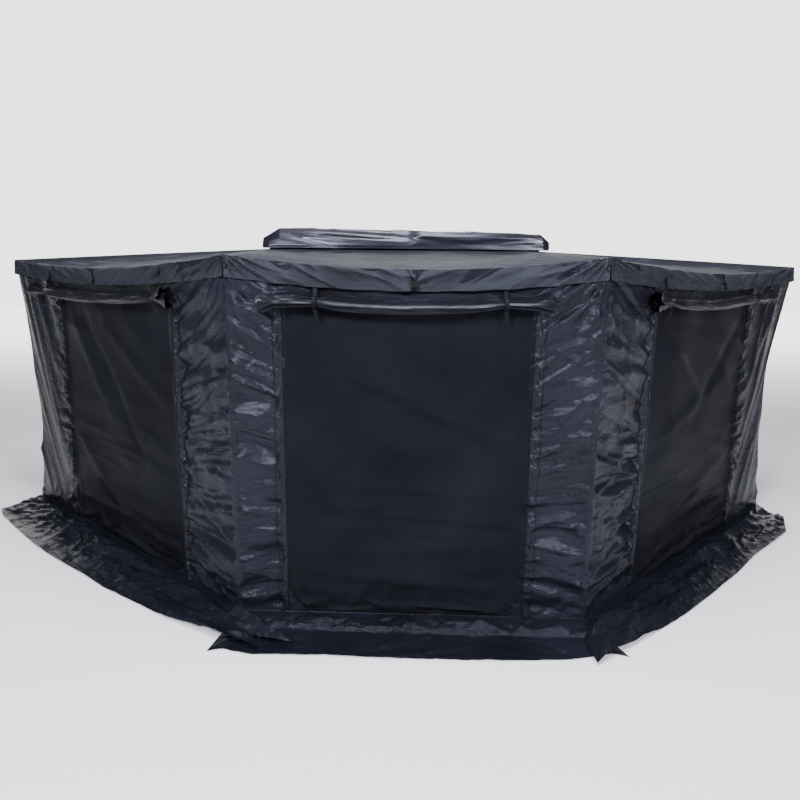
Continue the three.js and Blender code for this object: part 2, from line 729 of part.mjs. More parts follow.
function makeBackPlate() {
  const channelTop = PLATE_TOP - TSLOT_INSET - TSLOT_HEIGHT / 2;
  const channelLow = PLATE_BOTTOM + TSLOT_INSET;
  const webTop = CANOPY_RAIL_HEIGHT - (RAIL_RADIUS + RAIL_BORE_RADIUS) / 2;
  const web = [
    [0, webTop],
    [PLATE_WEB, webTop],
    ...boltChannel(channelTop),
    ...boltChannel(channelLow),
    [PLATE_WEB, PLATE_BOTTOM],
    [-PLATE_LIP, PLATE_BOTTOM],
    [-PLATE_LIP, PLATE_BOTTOM + PLATE_WEB],
    [0, PLATE_BOTTOM + PLATE_WEB],
  ];
  const centre = [0, PLATE_TOP - RAIL_RADIUS];
  const open = Math.PI - RAIL_MOUTH / 2;
  const rail = [
    ...arc(centre, RAIL_RADIUS, -open, open, ROUND_SIDES),
    ...arc(centre, RAIL_BORE_RADIUS, open, -open, ROUND_SIDES),
  ];
  const [webBar, railBar] = [web.reverse(), rail].map((outline) => bar(outline, -HALF_PLATE, HALF_PLATE));
  node("back_plate", join(webBar, railBar), "aluminium");
  return { channelTop, channelLow };
}

// Rack brackets: an angle plate bolted into the channels, with a slotted shelf for the rack's bar.
const BRACKET_FACE = TSLOT_BACK + SEAT_GAP;

function bracketGeometry(centreX, channels) {
  const half = BRACKET_WIDTH / 2;
  const low = channels.channelLow - BRACKET_RISE / 2;
  const high = channels.channelTop + BRACKET_RISE / 2;
  const shelf = (low + high) / 2;
  const back = BRACKET_FACE + BRACKET_PLATE;
  const end = BRACKET_FACE + BRACKET_REACH;
  const profile = [
    [BRACKET_FACE, low],
    [back, low],
    [back, shelf],
    [end, shelf],
    [end, shelf + BRACKET_PLATE],
    [back, shelf + BRACKET_PLATE],
    [back, high],
    [BRACKET_FACE, high],
  ];
  const angle = bar(profile, -half, half);
  const rib = [
    [back - OVERRUN, shelf + BRACKET_PLATE - OVERRUN],
    [back + BRACKET_GUSSET, shelf + BRACKET_PLATE - OVERRUN],
    [back - OVERRUN, shelf + BRACKET_PLATE + BRACKET_GUSSET],
  ];
  const ribs = [bar(rib, -half, BRACKET_PLATE - half), bar(rib, half - BRACKET_PLATE, half)];
  const bolts = [channels.channelLow, channels.channelTop].map((z) =>
    rod("y", back - OVERRUN, back + BOLT_HEAD, [0, z], BOLT_HEAD_RADIUS, HEX_SIDES),
  );
  const slotMiddle = end - BRACKET_SLOT_LENGTH / 2 - BRACKET_SLOT_WIDTH;
  const slots = [-1, 1].map((handed) => {
    const outline = slotOutline([slotMiddle, 0], BRACKET_SLOT_LENGTH, BRACKET_SLOT_WIDTH);
    const tool = plate(outline, BRACKET_PLATE + 2 * OVERRUN).rotateZ(Math.PI / 2);
    return tool.translate((handed * BRACKET_SLOT_SPACING) / 2, 0, shelf - OVERRUN);
  });
  const made = cut(join(angle, ...ribs, ...bolts), ...slots);
  return { made: made.translate(centreX, 0, 0), shelf, slotMiddle };
}

function makeRackBrackets(channels) {
  const places = { left: -BRACKET_SPACING, centre: 0, right: BRACKET_SPACING };
  const seats = Object.entries(places).map(([name, x]) => {
    const { made, shelf, slotMiddle } = bracketGeometry(x, channels);
    node("rack_bracket_" + name, made, "bracket");
    return [x, slotMiddle, shelf];
  });
  return seats[1];
}

// Hub brackets: a flange on the back plate, two plates round both arm roots and a web between them.
function hubOutline(pins, handed, grow) {
  const far = handed * HUB_FOOT_END_X;
  const near = handed * (HUB_FOOT_END_X - HUB_FOOT_WIDTH);
  const circles = pins.flatMap((pin) => arc(pin, HUB_BOSS_RADIUS + grow, 0, 2 * Math.PI, ROUND_SIDES));
  return hullOf([...circles, [far, -SEAT_GAP], [near, -SEAT_GAP]]);
}

function hubBracket(pins, handed) {
  const upper = ARM_TOP + HUB_PLATE_GAP;
  const lower = ARM_BOTTOM - HUB_PLATE_GAP - HUB_PLATE;
  const outline = hubOutline(pins, handed, 0);
  const plates = [upper, lower].map((z) => plate(outline, HUB_PLATE).translate(0, 0, z));
  const far = handed * HUB_FOOT_END_X;
  const near = handed * (HUB_FOOT_END_X - HUB_FOOT_WIDTH);
  const [westX, eastX] = [Math.min(far, near), Math.max(far, near)];
  const flange = block(
    [westX, -SEAT_GAP - HUB_FLANGE, PLATE_BOTTOM + PLATE_WEB + SEAT_GAP],
    [eastX, -SEAT_GAP, upper + HUB_PLATE + HUB_FLANGE_RISE],
  );
  const webEnd = pins[1][1] + HUB_WEB_STOP;
  const webX = [far, far - handed * HUB_WEB].sort((a, b) => a - b);
  const web = block([webX[0], webEnd, lower + OVERRUN], [webX[1], -SEAT_GAP - OVERRUN, upper + OVERRUN]);
  const bores = pins.map((pin) =>
    rod("z", lower - OVERRUN, upper + HUB_PLATE + OVERRUN, pin, PIN_RADIUS + SEAT_GAP, SMALL_SIDES),
  );
  const boltX = (westX + eastX) / 2;
  const boltHeight = upper + HUB_PLATE + HUB_FLANGE_RISE / 2;
  const bolts = [-1, 1].map((step) =>
    rod(
      "y",
      -SEAT_GAP - HUB_FLANGE - BOLT_HEAD,
      -SEAT_GAP - OVERRUN,
      [boltX + (step * HUB_FOOT_WIDTH) / 4, boltHeight],
      BOLT_HEAD_RADIUS,
      HEX_SIDES,
    ),
  );
  return cut(join(flange, ...plates, web, ...bolts), ...bores);
}

function hubPin(pin) {
  const top = ARM_TOP + HUB_PLATE_GAP + HUB_PLATE + SEAT_GAP;
  const low = ARM_BOTTOM - HUB_PLATE_GAP - HUB_PLATE - SEAT_GAP;
  const shank = rod("z", low - PIN_HEAD / 2, top + PIN_HEAD / 2, pin, PIN_RADIUS, SMALL_SIDES);
  const head = rod("z", top, top + PIN_HEAD, pin, PIN_HEAD_RADIUS, HEX_SIDES);
  const nut = rod("z", low - PIN_HEAD, low, pin, PIN_HEAD_RADIUS, HEX_SIDES);
  return join(shank, head, nut);
}

function makeHubs() {
  const pinsOf = (side) => ARMS.filter(({ name }) => name.startsWith(side)).map(({ pin }) => pin);
  node("hub_bracket_left", hubBracket(pinsOf("left"), -1), "bracket");
  node("hub_bracket_right", hubBracket(pinsOf("right"), 1), "bracket");
  for (const { name, pin } of ARMS) node("hub_pin_" + name, hubPin(pin), "steel");
}

// An arm, drawn along X from its pin: a channel open below, with a solid root and a slotted top.
function armGeometry() {
  const half = ARM_WIDTH / 2;
  const inner = half - ARM_WALL;
  const roof = ARM_TOP - ARM_WALL;
  const section = [
    [-half, ARM_BOTTOM],
    [-inner, ARM_BOTTOM],
    [-inner, roof],
    [inner, roof],
    [inner, ARM_BOTTOM],
    [half, ARM_BOTTOM],
    [half, ARM_TOP - ARM_WALL],
    [inner, ARM_TOP],
    [inner - ARM_WALL, ARM_TOP + ARM_RIB],
    [inner - 2 * ARM_WALL, ARM_TOP],
    [2 * ARM_WALL - inner, ARM_TOP],
    [ARM_WALL - inner, ARM_TOP + ARM_RIB],
    [-inner, ARM_TOP],
    [-half, ARM_TOP - ARM_WALL],
  ];
  const end = ARM_REACH + ARM_TIP_OVERHANG;
  const channel = bar(section, 0, end);
  const root = rod("z", ARM_BOTTOM, ARM_TOP, [0, 0], ARM_BOSS_RADIUS);
  const boreRadius = PIN_RADIUS + SEAT_GAP;
  const bore = rod("z", ARM_BOTTOM - OVERRUN, ARM_TOP + ARM_RIB + OVERRUN, [0, 0], boreRadius, SMALL_SIDES);
  const boltBore = LEG_BOLT_RADIUS + SEAT_GAP;
  const tip = [ARM_REACH, LEG_PIVOT_HEIGHT];
  const across = rod("y", -half - OVERRUN, half + OVERRUN, tip, boltBore, SMALL_SIDES);
  const tipCut = [
    [end + OVERRUN, ARM_BOTTOM - OVERRUN],
    [end + OVERRUN, LEG_PIVOT_HEIGHT],
    [ARM_REACH, ARM_BOTTOM - OVERRUN],
  ];
  const chamfer = plate(tipCut, ARM_WIDTH + 2 * OVERRUN).rotateX(Math.PI / 2).translate(0, half + OVERRUN, 0);
  const slotPitch = ARM_REACH / (ARM_SLOT_COUNT + 1);
  const slotDepth = ARM_WALL + 2 * OVERRUN;
  const slots = Array.from({ length: ARM_SLOT_COUNT }, (unused, i) =>
    plate(slotOutline([slotPitch * (i + 1), 0], ARM_SLOT_LENGTH, ARM_SLOT_WIDTH), slotDepth).translate(
      0,
      0,
      roof - OVERRUN,
    ),
  );
  return cut(join(channel, root), bore, across, chamfer, ...slots);
}

// Leg pieces, stowed: they run from the pivot at the arm's tip back towards the hub.
const legAt = (run) => ARM_REACH - run;
const LEG_AXIS = [0, LEG_PIVOT_HEIGHT];

function tube(from, to, radius, wall) {
  const outside = rod("x", legAt(to), legAt(from), LEG_AXIS, radius);
  const bore = rod("x", legAt(to) - OVERRUN, legAt(from) + OVERRUN, LEG_AXIS, radius - wall);
  return cut(outside, bore);
}

function legOuter() {
  const body = rod("x", legAt(LEG_OUTER_LENGTH), legAt(0), LEG_AXIS, LEG_RADIUS);
  const head = rod("y", -LEG_RADIUS, LEG_RADIUS, [ARM_REACH, LEG_PIVOT_HEIGHT], LEG_RADIUS);
  const collarStart = LEG_OUTER_LENGTH - COLLAR_LENGTH;
  const collar = rod("x", legAt(LEG_OUTER_LENGTH + COLLAR_RIM), legAt(collarStart), LEG_AXIS, COLLAR_RADIUS);
  const lugLow = LEG_PIVOT_HEIGHT - COLLAR_RADIUS - COLLAR_LUG_DEPTH;
  const lug = block(
    [legAt(LEG_OUTER_LENGTH), -COLLAR_LUG_WIDTH / 2, lugLow],
    [legAt(LEG_OUTER_LENGTH - COLLAR_LUG_WIDTH), COLLAR_LUG_WIDTH / 2, LEG_PIVOT_HEIGHT - LEG_RADIUS],
  );
  const forkHalf = COLLAR_LUG_WIDTH / 2 - COLLAR_LUG_WALL;
  const forkTop = LEG_PIVOT_HEIGHT - COLLAR_RADIUS - SEAT_GAP;
  const fork = block(
    [legAt(LEG_OUTER_LENGTH) - OVERRUN, -forkHalf, lugLow - OVERRUN],
    [legAt(LEG_OUTER_LENGTH - COLLAR_LUG_WIDTH) + OVERRUN, forkHalf, forkTop],
  );
  const bore = rod(
    "x",
    legAt(LEG_OUTER_LENGTH + COLLAR_RIM) - OVERRUN,
    legAt(LEG_PLUG_LENGTH),
    LEG_AXIS,
    LEG_INNER_RADIUS + SEAT_GAP,
  );
  const side = LEG_RADIUS + OVERRUN;
  const boltBore = LEG_BOLT_RADIUS + SEAT_GAP;
  const pivot = rod("y", -side, side, [ARM_REACH, LEG_PIVOT_HEIGHT], boltBore, SMALL_SIDES);
  const axleBore = LEVER_HUB_RADIUS / 2 + SEAT_GAP;
  const leverBore = rod("y", -COLLAR_LUG_WIDTH, COLLAR_LUG_WIDTH, leverAxis(), axleBore, EYE_SIDES);
  return cut(join(body, head, collar, lug), fork, bore, pivot, leverBore);
}

function leverAxis() {
  const along = LEG_OUTER_LENGTH - COLLAR_LUG_WIDTH / 2;
  const height = LEG_PIVOT_HEIGHT - COLLAR_RADIUS - SEAT_GAP - LEVER_HUB_RADIUS;
  return [legAt(along), height];
}

// The clamp lever lies along the leg, towards the pivot, and swings down to free the inner tube.
function legLever() {
  const [x, z] = leverAxis();
  const width = COLLAR_LUG_WIDTH - 2 * (COLLAR_LUG_WALL + SEAT_GAP);
  const low = z - LEVER_HUB_RADIUS;
  const handle = [
    [x, low],
    [x + LEVER_LENGTH, low - LEVER_CURL / 2],
    [x + LEVER_LENGTH + LEVER_CURL, low - LEVER_CURL],
    [x + LEVER_LENGTH + LEVER_CURL, low - LEVER_CURL + LEVER_THICKNESS],
    [x + LEVER_LENGTH, low + LEVER_THICKNESS - LEVER_CURL / 2],
    [x, low + 2 * LEVER_THICKNESS],
  ];
  const grip = plate(handle, width).rotateX(Math.PI / 2).translate(0, width / 2, 0);
  const hub = rod("y", -width / 2, width / 2, [x, z], LEVER_HUB_RADIUS, SMALL_SIDES);
  const lugHalf = COLLAR_LUG_WIDTH / 2;
  const axle = rod("y", -lugHalf, lugHalf, [x, z], LEVER_HUB_RADIUS / 2, EYE_SIDES);
  return join(hub, grip, axle);
}

const LEG_INNER_END = LEG_PIVOT_HEIGHT - LEG_TRAVEL - FOOT_LENGTH + FOOT_SOCKET;

function legInner() {
  return tube(LEG_INNER_END - LEG_INNER_LENGTH, LEG_INNER_END - SEAT_GAP, LEG_INNER_RADIUS, LEG_INNER_WALL);
}

// The foot: a ribbed cup on the tube's end, with a lug and a peg hole on the side that faces out.
function legFoot() {
  const end = LEG_PIVOT_HEIGHT - LEG_TRAVEL;
  const mouth = end - FOOT_LENGTH;
  const cup = rod("x", legAt(end), legAt(mouth), LEG_AXIS, FOOT_RADIUS);
  const socketRadius = LEG_INNER_RADIUS + SEAT_GAP;
  const socket = rod("x", legAt(mouth + FOOT_SOCKET), legAt(mouth) + OVERRUN, LEG_AXIS, socketRadius);
  const half = FOOT_LUG_WIDTH / 2;
  const reach = LEG_PIVOT_HEIGHT - FOOT_LUG_REACH;
  const outline = [
    [-half, LEG_PIVOT_HEIGHT],
    ...arc([0, reach + half], half, -Math.PI, 0, SMALL_SIDES),
    [half, LEG_PIVOT_HEIGHT],
  ];
  const lug = bar(outline, legAt(end), legAt(end) + FOOT_LUG_THICKNESS);
  const lugFace = legAt(end) + FOOT_LUG_THICKNESS;
  const pegAt = [0, reach + half];
  const hole = rod("x", legAt(end) - OVERRUN, lugFace + OVERRUN, pegAt, FOOT_PEG_RADIUS, SMALL_SIDES);
  return cut(join(cup, lug), socket, hole);
}

function legBolt() {
  const half = ARM_WIDTH / 2 + SEAT_GAP;
  const end = half + LEG_BOLT_HEAD;
  const at = [ARM_REACH, LEG_PIVOT_HEIGHT];
  const shank = rod("y", -end + LEG_BOLT_HEAD / 2, end - LEG_BOLT_HEAD / 2, at, LEG_BOLT_RADIUS, SMALL_SIDES);
  const head = rod("y", half, end, at, LEG_BOLT_HEAD_RADIUS, SMALL_SIDES);
  const nut = rod("y", -end, -half, at, LEG_BOLT_HEAD_RADIUS, HEX_SIDES);
  return join(shank, head, nut);
}

function makeArms() {
  for (const { name, pin, turn } of ARMS) {
    const group = new THREE.Group();
    group.position.set(pin[0], pin[1], 0);
    group.rotation.z = turn;
    awning.add(group);
    node("arm_" + name, armGeometry(), "aluminium", group);
    node("leg_bolt_" + name, legBolt(), "steel", group);
    node("leg_outer_" + name, legOuter(), "aluminium", group);
    node("leg_lever_" + name, legLever(), "plastic", group);
    node("leg_inner_" + name, legInner(), "steel", group);
    node("foot_" + name, legFoot(), "plastic", group);
  }
}

// The travel cover, opened and laid over the top of the back plate, with tapered ends.
const COVER_RINGS = 20;

function coverLoft() {
  const half = COVER_LENGTH / 2;
  const base = PLATE_TOP + SEAT_GAP;
  const facet = Math.PI / ROUND_SIDES;
  const flat = Math.cos(facet) ** (3 / 4);
  return loft(
    (share, turned) => {
      const angle = turned + facet;
      const x = lerp(-half, half, share);
      const fromEnd = Math.min(1, (half - Math.abs(x)) / COVER_TAPER);
      const taper = Math.max(fromEnd, 0) ** (1 / 2);
      const size = lerp(1 / 3, 1, taper);
      const ripple = COVER_RIPPLE * taper * Math.sin((2 * Math.PI * x) / COVER_RIPPLE_PITCH) ** 2;
      const squareCos = Math.sign(Math.cos(angle)) * Math.abs(Math.cos(angle)) ** (3 / 4);
      const squareSin = Math.sign(Math.sin(angle)) * Math.abs(Math.sin(angle)) ** (3 / 4);
      const y = COVER_DEPTH / 2 - COVER_FRONT + (squareSin * COVER_DEPTH * lerp(3 / 4, 1, taper)) / 2;
      const height = COVER_HEIGHT * size;
      const top = squareCos > 0 ? ripple * squareCos : 0;
      return [x, y, base + (height * (1 + squareCos / flat)) / 2 - top];
    },
    COVER_RINGS,
    ROUND_SIDES,
  );
}

// Zip sliders, each just outside its wall beside the door, with its pull tab hanging.
function sliderGeometry() {
  const half = SLIDER_WIDTH / 2;
  const outline = [
    [-SLIDER_WAIST / 2, 0],
    [SLIDER_WAIST / 2, 0],
    [half, SLIDER_LENGTH / 2],
    [half, SLIDER_LENGTH],
    [-half, SLIDER_LENGTH],
    [-half, SLIDER_LENGTH / 2],
  ];
  const body = plate(outline, SLIDER_DEPTH);
  const tabTop = SLIDER_LENGTH * (3 / 4);
  const tabEnd = tabTop - TAB_LENGTH;
  const tabBack = SLIDER_DEPTH - OVERRUN;
  const tabFront = tabBack + TAB_THICKNESS;
  const tab = block([-TAB_WIDTH / 2, tabEnd, tabBack], [TAB_WIDTH / 2, tabTop, tabFront]);
  const eyeAt = [0, tabEnd + TAB_WIDTH / 2];
  const eye = rod("z", tabBack - OVERRUN, tabFront + OVERRUN, eyeAt, TAB_WIDTH / 4, EYE_SIDES);
  return cut(join(body, tab), eye);
}

// Turns a piece drawn flat, with its back on the XY plane, to stand on the outside of a side.
function mountOnSide(mesh, side, run, out, height, tilt = 0) {
  const [x, y, z] = onSide(side, run, out, height);
  mesh.rotation.order = "ZXY";
  mesh.rotation.set(Math.PI / 2 - tilt, 0, Math.atan2(side.along[1], side.along[0]));
  mesh.position.set(x, y, z);
}

function makeSliders() {
  for (const name of Object.keys(WALLS)) {
    const mesh = node("zip_slider_" + name, sliderGeometry(), "steel");
    const height = lerp(DOOR_BOTTOM, DOOR_TOP, SIDE_SHARES[name].zip);
    mountOnSide(mesh, WALL_SIDES[name], layout(name).zip, CLOTH / 2 + SEAT_GAP, height);
  }
}

// A side-release buckle with its web, on the outside of the valance's middle.
function buckleGeometry() {
  const half = BUCKLE_WIDTH / 2;
  const outline = roundedRectangle(-half, half, -BUCKLE_LENGTH, 0, BUCKLE_CORNER);
  const body = plate(outline, BUCKLE_DEPTH);
  const inner = half - BUCKLE_RIM;
  const slots = [-BUCKLE_RIM - BUCKLE_SLOT, -BUCKLE_LENGTH + BUCKLE_RIM].map((low) =>
    block([-inner, low, -OVERRUN], [inner, low + BUCKLE_SLOT, BUCKLE_DEPTH + OVERRUN]),
  );
  const grip = [-1, 1].map((handed) => {
    const at = [handed * (half + BUCKLE_RIM), -BUCKLE_LENGTH / 2];
    return rod("z", -OVERRUN, BUCKLE_DEPTH + OVERRUN, at, BUCKLE_RIM * 2, SMALL_SIDES);
  });
  const webHalf = STRAP_WIDTH / 2;
  const web = block([-webHalf, -STRAP_BURIED, 0], [webHalf, BUCKLE_DROP - 2 * CLOTH, STRAP_THICKNESS]);
  return join(cut(body, ...slots, ...grip), web);
}

function makeBuckles() {
  for (const [name, side] of Object.entries(CANOPY_SIDES)) {
    const mesh = node("valance_buckle_" + name, buckleGeometry(), "plastic");
    const height = CANOPY_CORNER_HEIGHT - SAGS[name] - BUCKLE_DROP;
    const flare = (VALANCE_FLARE + VALANCE_FOLD) / VALANCE_DROP;
    const out = BUCKLE_DROP * flare + CLOTH / 2 + SEAT_GAP;
    mountOnSide(mesh, side, side.length / 2, out, height, Math.atan(flare));
  }
}

// A ring on a short web at each front corner of the canopy, where the guy lines go.
function ringGeometry() {
  const torus = new THREE.TorusGeometry(RING_RADIUS, RING_WIRE, HEX_SIDES, SMALL_SIDES);
  const ring = torus.translate(0, 0, RING_WIRE);
  const half = STRAP_WIDTH / 2;
  const web = block([-half, RING_RADIUS - RING_WIRE, 0], [half, RING_RADIUS + RING_STRAP, STRAP_THICKNESS]);
  return join(ring, web);
}

function makeCornerRings() {
  const drop = RING_RADIUS + RING_STRAP + CLOTH;
  const flare = VALANCE_FLARE / VALANCE_DROP;
  const out = drop * flare + CLOTH / 2 + SEAT_GAP;
  const places = { left: [CANOPY_SIDES.front, 0], right: [CANOPY_SIDES.front, CANOPY_SIDES.front.length] };
  for (const [name, [side, run]] of Object.entries(places)) {
    const mesh = node("corner_ring_" + name, ringGeometry(), "plastic");
    mountOnSide(mesh, side, run, out, CANOPY_CORNER_HEIGHT - drop, Math.atan(flare));
  }
}

const channels = makeBackPlate();
const seat = makeRackBrackets(channels);
makeHubs();
makeArms();
makeCanopy();
makeWalls();
makeSkirts();
makeRolls();
node("travel_cover", coverLoft(), "cover");
makeSliders();
makeBuckles();
makeCornerRings();

// The origin goes to the underside of the middle rack bracket, between its two slots.
awning.position.set(0, -seat[1], -seat[2]);
const part = new THREE.Group();
part.name = "side_awning";
part.add(awning);

export default part;
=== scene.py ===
# %% [markdown]
# # A fold-out vehicle awning with walls
# The awning hangs on a vehicle's rack. Its metal frame comes ready made, and this lesson dresses it:
# the roof, walls, doors, rolled flaps, skirts and cover are sewn cloth, so each is made as a sheet.

# %% Start
import json
from math import atan2, cos, exp, hypot, pi, radians, sin
import bpy
from mathutils import Matrix, Vector, noise


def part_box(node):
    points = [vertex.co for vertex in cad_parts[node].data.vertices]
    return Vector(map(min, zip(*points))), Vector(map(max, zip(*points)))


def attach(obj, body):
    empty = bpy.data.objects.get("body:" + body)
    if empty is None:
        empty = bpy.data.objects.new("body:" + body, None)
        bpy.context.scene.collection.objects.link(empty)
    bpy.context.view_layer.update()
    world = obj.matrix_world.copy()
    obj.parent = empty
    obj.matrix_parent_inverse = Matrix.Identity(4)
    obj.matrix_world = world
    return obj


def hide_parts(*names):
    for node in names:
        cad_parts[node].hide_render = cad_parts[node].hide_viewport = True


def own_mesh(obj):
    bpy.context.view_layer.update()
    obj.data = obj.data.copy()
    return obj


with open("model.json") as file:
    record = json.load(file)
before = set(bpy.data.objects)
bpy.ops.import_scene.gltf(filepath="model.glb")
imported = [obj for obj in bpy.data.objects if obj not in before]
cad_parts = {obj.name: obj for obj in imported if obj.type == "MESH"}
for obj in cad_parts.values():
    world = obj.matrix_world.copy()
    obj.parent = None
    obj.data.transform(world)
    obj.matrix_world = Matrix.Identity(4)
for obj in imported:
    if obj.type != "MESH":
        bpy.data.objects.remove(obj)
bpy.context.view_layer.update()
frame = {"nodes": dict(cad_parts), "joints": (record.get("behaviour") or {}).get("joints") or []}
print("nodes in the frame:", len(frame["nodes"]))

# %% [markdown]
# ## The plan
# Everything hangs from four arms, so the plan is read from the joints at the arms' tips. Three
# sides run from tip to tip, and each sheet is placed by its run along a side and its height.

# %% The plan's corners and sides
HINGES = {joint["name"]: Vector(joint["pos_m"]) for joint in frame["joints"] if "pos_m" in joint}
TIPS = {arm: HINGES[arm + "_leg_fold"] for arm in ("left_outer", "left_front", "right_front", "right_outer")}
LEG_REACH = 1.967
GROUND = TIPS["left_front"].z - LEG_REACH
CANOPY_CORNER = GROUND + 2.0
RAIL = GROUND + 2.112
SAG = 0.066
VALANCE = 0.122
CANOPY_OFFSET = 0.062
WALL_OFFSET = 0.054
OVERHANG = 0.03
HEM = GROUND + 0.034
PLATE_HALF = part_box("back_plate")[1][0]
PLATE_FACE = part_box("back_plate")[0][1] + 0.015


def side_line(start, end, offset):
    run = (end - start).to_2d()
    along = run.normalized()
    out = Vector((along.y, -along.x))
    return {"from": start.to_2d() + out * offset, "along": along, "out": out, "length": run.length}


def crossing(a, b):
    gap = b["from"] - a["from"]
    det = a["along"].y * b["along"].x - a["along"].x * b["along"].y
    return a["from"] + a["along"] * ((gap.y * b["along"].x - gap.x * b["along"].y) / det)


def sides_at(offset):
    lines = {
        "left": side_line(TIPS["left_outer"], TIPS["left_front"], offset),
        "front": side_line(TIPS["left_front"], TIPS["right_front"], offset),
        "right": side_line(TIPS["right_front"], TIPS["right_outer"], offset),
    }
    left, front, right = lines["left"], lines["front"], lines["right"]
    corners = [
        left["from"] - left["along"] * OVERHANG,
        crossing(left, front),
        crossing(front, right),
        right["from"] + right["along"] * (right["length"] + OVERHANG),
    ]
    for (name, line), start, end in zip(lines.items(), corners, corners[1:]):
        line["from"], line["length"] = start, (end - start).length
    return lines


CANOPY = sides_at(CANOPY_OFFSET)
WALLS = sides_at(WALL_OFFSET)


def on_side(side, run, out, height):
    place = side["from"] + side["along"] * run + side["out"] * out
    return Vector((place.x, place.y, height))


def mix(a, b, share):
    return a + (b - a) * share


def bow(share):
    return 4 * share * (1 - share)


def smooth(low, high, value):
    share = min(1, max(0, (value - low) / (high - low)))
    return share * share * (3 - 2 * share)


for name, side in WALLS.items():
    print(name, "wall:", round(side["length"], 3), "m")

# %% [markdown]
# ## Finishes
# Nearly everything here is black or dark grey, so the finishes are told apart by their gloss and
# their surface: a coated roof, a crinkled wall cloth, a dull mesh and a wet-looking cover.

# %% Colours and nodes
def srgb(code):
    """A hex colour, turned from the screen's scale to the linear one that shaders use."""
    parts = [int(code[i : i + 2], 16) / 255 for i in (1, 3, 5)]
    linear = [p / 12.92 if p <= 0.04045 else ((p + 0.055) / 1.055) ** 2.4 for p in parts]
    return (*linear, 1)


def add_node(tree, kind, inputs=None, **settings):
    """Adds a node, sets its options, and fills its inputs with values or with other nodes' outputs."""
    made = tree.nodes.new("ShaderNode" + kind)
    for key, value in settings.items():
        setattr(made, key, value)
    for key, value in (inputs or {}).items():
        if isinstance(value, bpy.types.NodeSocket):
            tree.links.new(value, made.inputs[key])
        else:
            made.inputs[key].default_value = value
    return made


def paint(piece, material):
    piece.data.materials.clear()
    piece.data.materials.append(material)


def new_material(name, colour, roughness, metallic=0.0, specular=0.5, coat=0.0, tint="#ffffff"):
    material = bpy.data.materials.new(name)
    material.use_nodes = True
    tree = material.node_tree
    shader = tree.nodes["Principled BSDF"]
    looks = {"Base Color": srgb(colour), "Roughness": roughness, "Metallic": metallic}
    looks |= {"Specular IOR Level": specular, "Specular Tint": srgb(tint)}
    looks |= {"Coat Weight": coat, "Coat Roughness": 0.12}
    for key, value in looks.items():
        shader.inputs[key].default_value = value
    return material, tree, shader


def patchy_material(name, dark, light, patch_scale, patch_detail, roughness, **looks):
    """A material with uneven colour, as dust and handling leave it, and the place on the object."""
    material, tree, shader = new_material(name, dark, roughness, **looks)
    place = add_node(tree, "TexCoord").outputs["Object"]
    inputs = {"Vector": place, "Scale": patch_scale, "Detail": patch_detail}
    patches = add_node(tree, "TexNoise", inputs)
    ramp = add_node(tree, "ValToRGB", {"Fac": patches.outputs["Fac"]})
    for stop, share, shade in zip(ramp.color_ramp.elements, (0.3, 0.75), (dark, light)):
        stop.position, stop.color = share, srgb(shade)
    tree.links.new(ramp.outputs["Color"], shader.inputs["Base Color"])
    return material, tree, shader, place


def noise_of(tree, vector, millimetres, **inputs):
    """Cloudy noise whose blotches are so many millimetres wide."""
    inputs |= {"Vector": vector, "Scale": 1000 / millimetres}
    return add_node(tree, "TexNoise", inputs).outputs["Fac"]


def uneven_gloss(tree, shader, pattern, roughness, spread):
    """Roughness that goes up and down with a pattern, which breaks up the highlights."""
    inputs = {"Value": pattern, "To Min": roughness - spread, "To Max": roughness + spread}
    worn = add_node(tree, "MapRange", inputs)
    tree.links.new(worn.outputs["Result"], shader.inputs["Roughness"])


def bump(tree, height, distance, strength, below=None):
    inputs = {"Height": height, "Distance": distance, "Strength": strength}
    if below is not None:
        inputs["Normal"] = below.outputs["Normal"]
    return add_node(tree, "Bump", inputs)


def emboss(tree, shader, relief):
    tree.links.new(relief.outputs["Normal"], shader.inputs["Normal"])


# %% [markdown]
# ## Woven cloth
# A woven cloth has two sets of threads that cross. Two wave patterns along the sheet's own
# lengthwise and crosswise directions stand for them. Real threads are about 0.4 mm apart, too fine
# for this view, so the waves are drawn coarser. The coating pulls the cloth into fine crinkles.

# %% Cloth finishes
COATING_TINT = "#e9e7fa"


def woven(name, dark, light, roughness, thread_mm, crinkle_mm, depth, specular, ripstop_mm=0, coat=0.0):
    material, tree, shader, place = patchy_material(
        name, dark, light, 2.2, 6.0, roughness, specular=specular, coat=coat, tint=COATING_TINT
    )
    cut = add_node(tree, "UVMap", uv_map="UVMap").outputs["UV"]
    weave = None
    for axis in ("X", "Y"):
        inputs = {"Vector": cut, "Scale": 1000 / (thread_mm * 20), "Distortion": 0.4}
        threads = add_node(tree, "TexWave", inputs, bands_direction=axis)
        weave = bump(tree, threads.outputs["Fac"], 0.0003, 0.35, weave)
    for axis in ("X", "Y") if ripstop_mm else ():
        inputs = {"Vector": cut, "Scale": 1000 / (ripstop_mm * 20)}
        cord = add_node(tree, "TexWave", inputs, bands_direction=axis, wave_profile="TRI")
        sharp = add_node(tree, "Math", {0: cord.outputs["Fac"], 1: 8.0}, operation="POWER")
        weave = bump(tree, sharp.outputs[0], 0.0006, 0.5, weave)
    flatter = add_node(tree, "Mapping", {"Vector": place, "Scale": (1, 1, 2.4)}).outputs["Vector"]
    crinkles = noise_of(tree, flatter, crinkle_mm, Detail=5.0, Roughness=0.6)
    broad = noise_of(tree, flatter, 4 * crinkle_mm, Detail=3.0, Distortion=0.8)
    relief = bump(tree, broad, depth * 3, 0.6, bump(tree, crinkles, depth, 0.7, weave))
    emboss(tree, shader, relief)
    uneven_gloss(tree, shader, broad, roughness, 0.1)
    return material


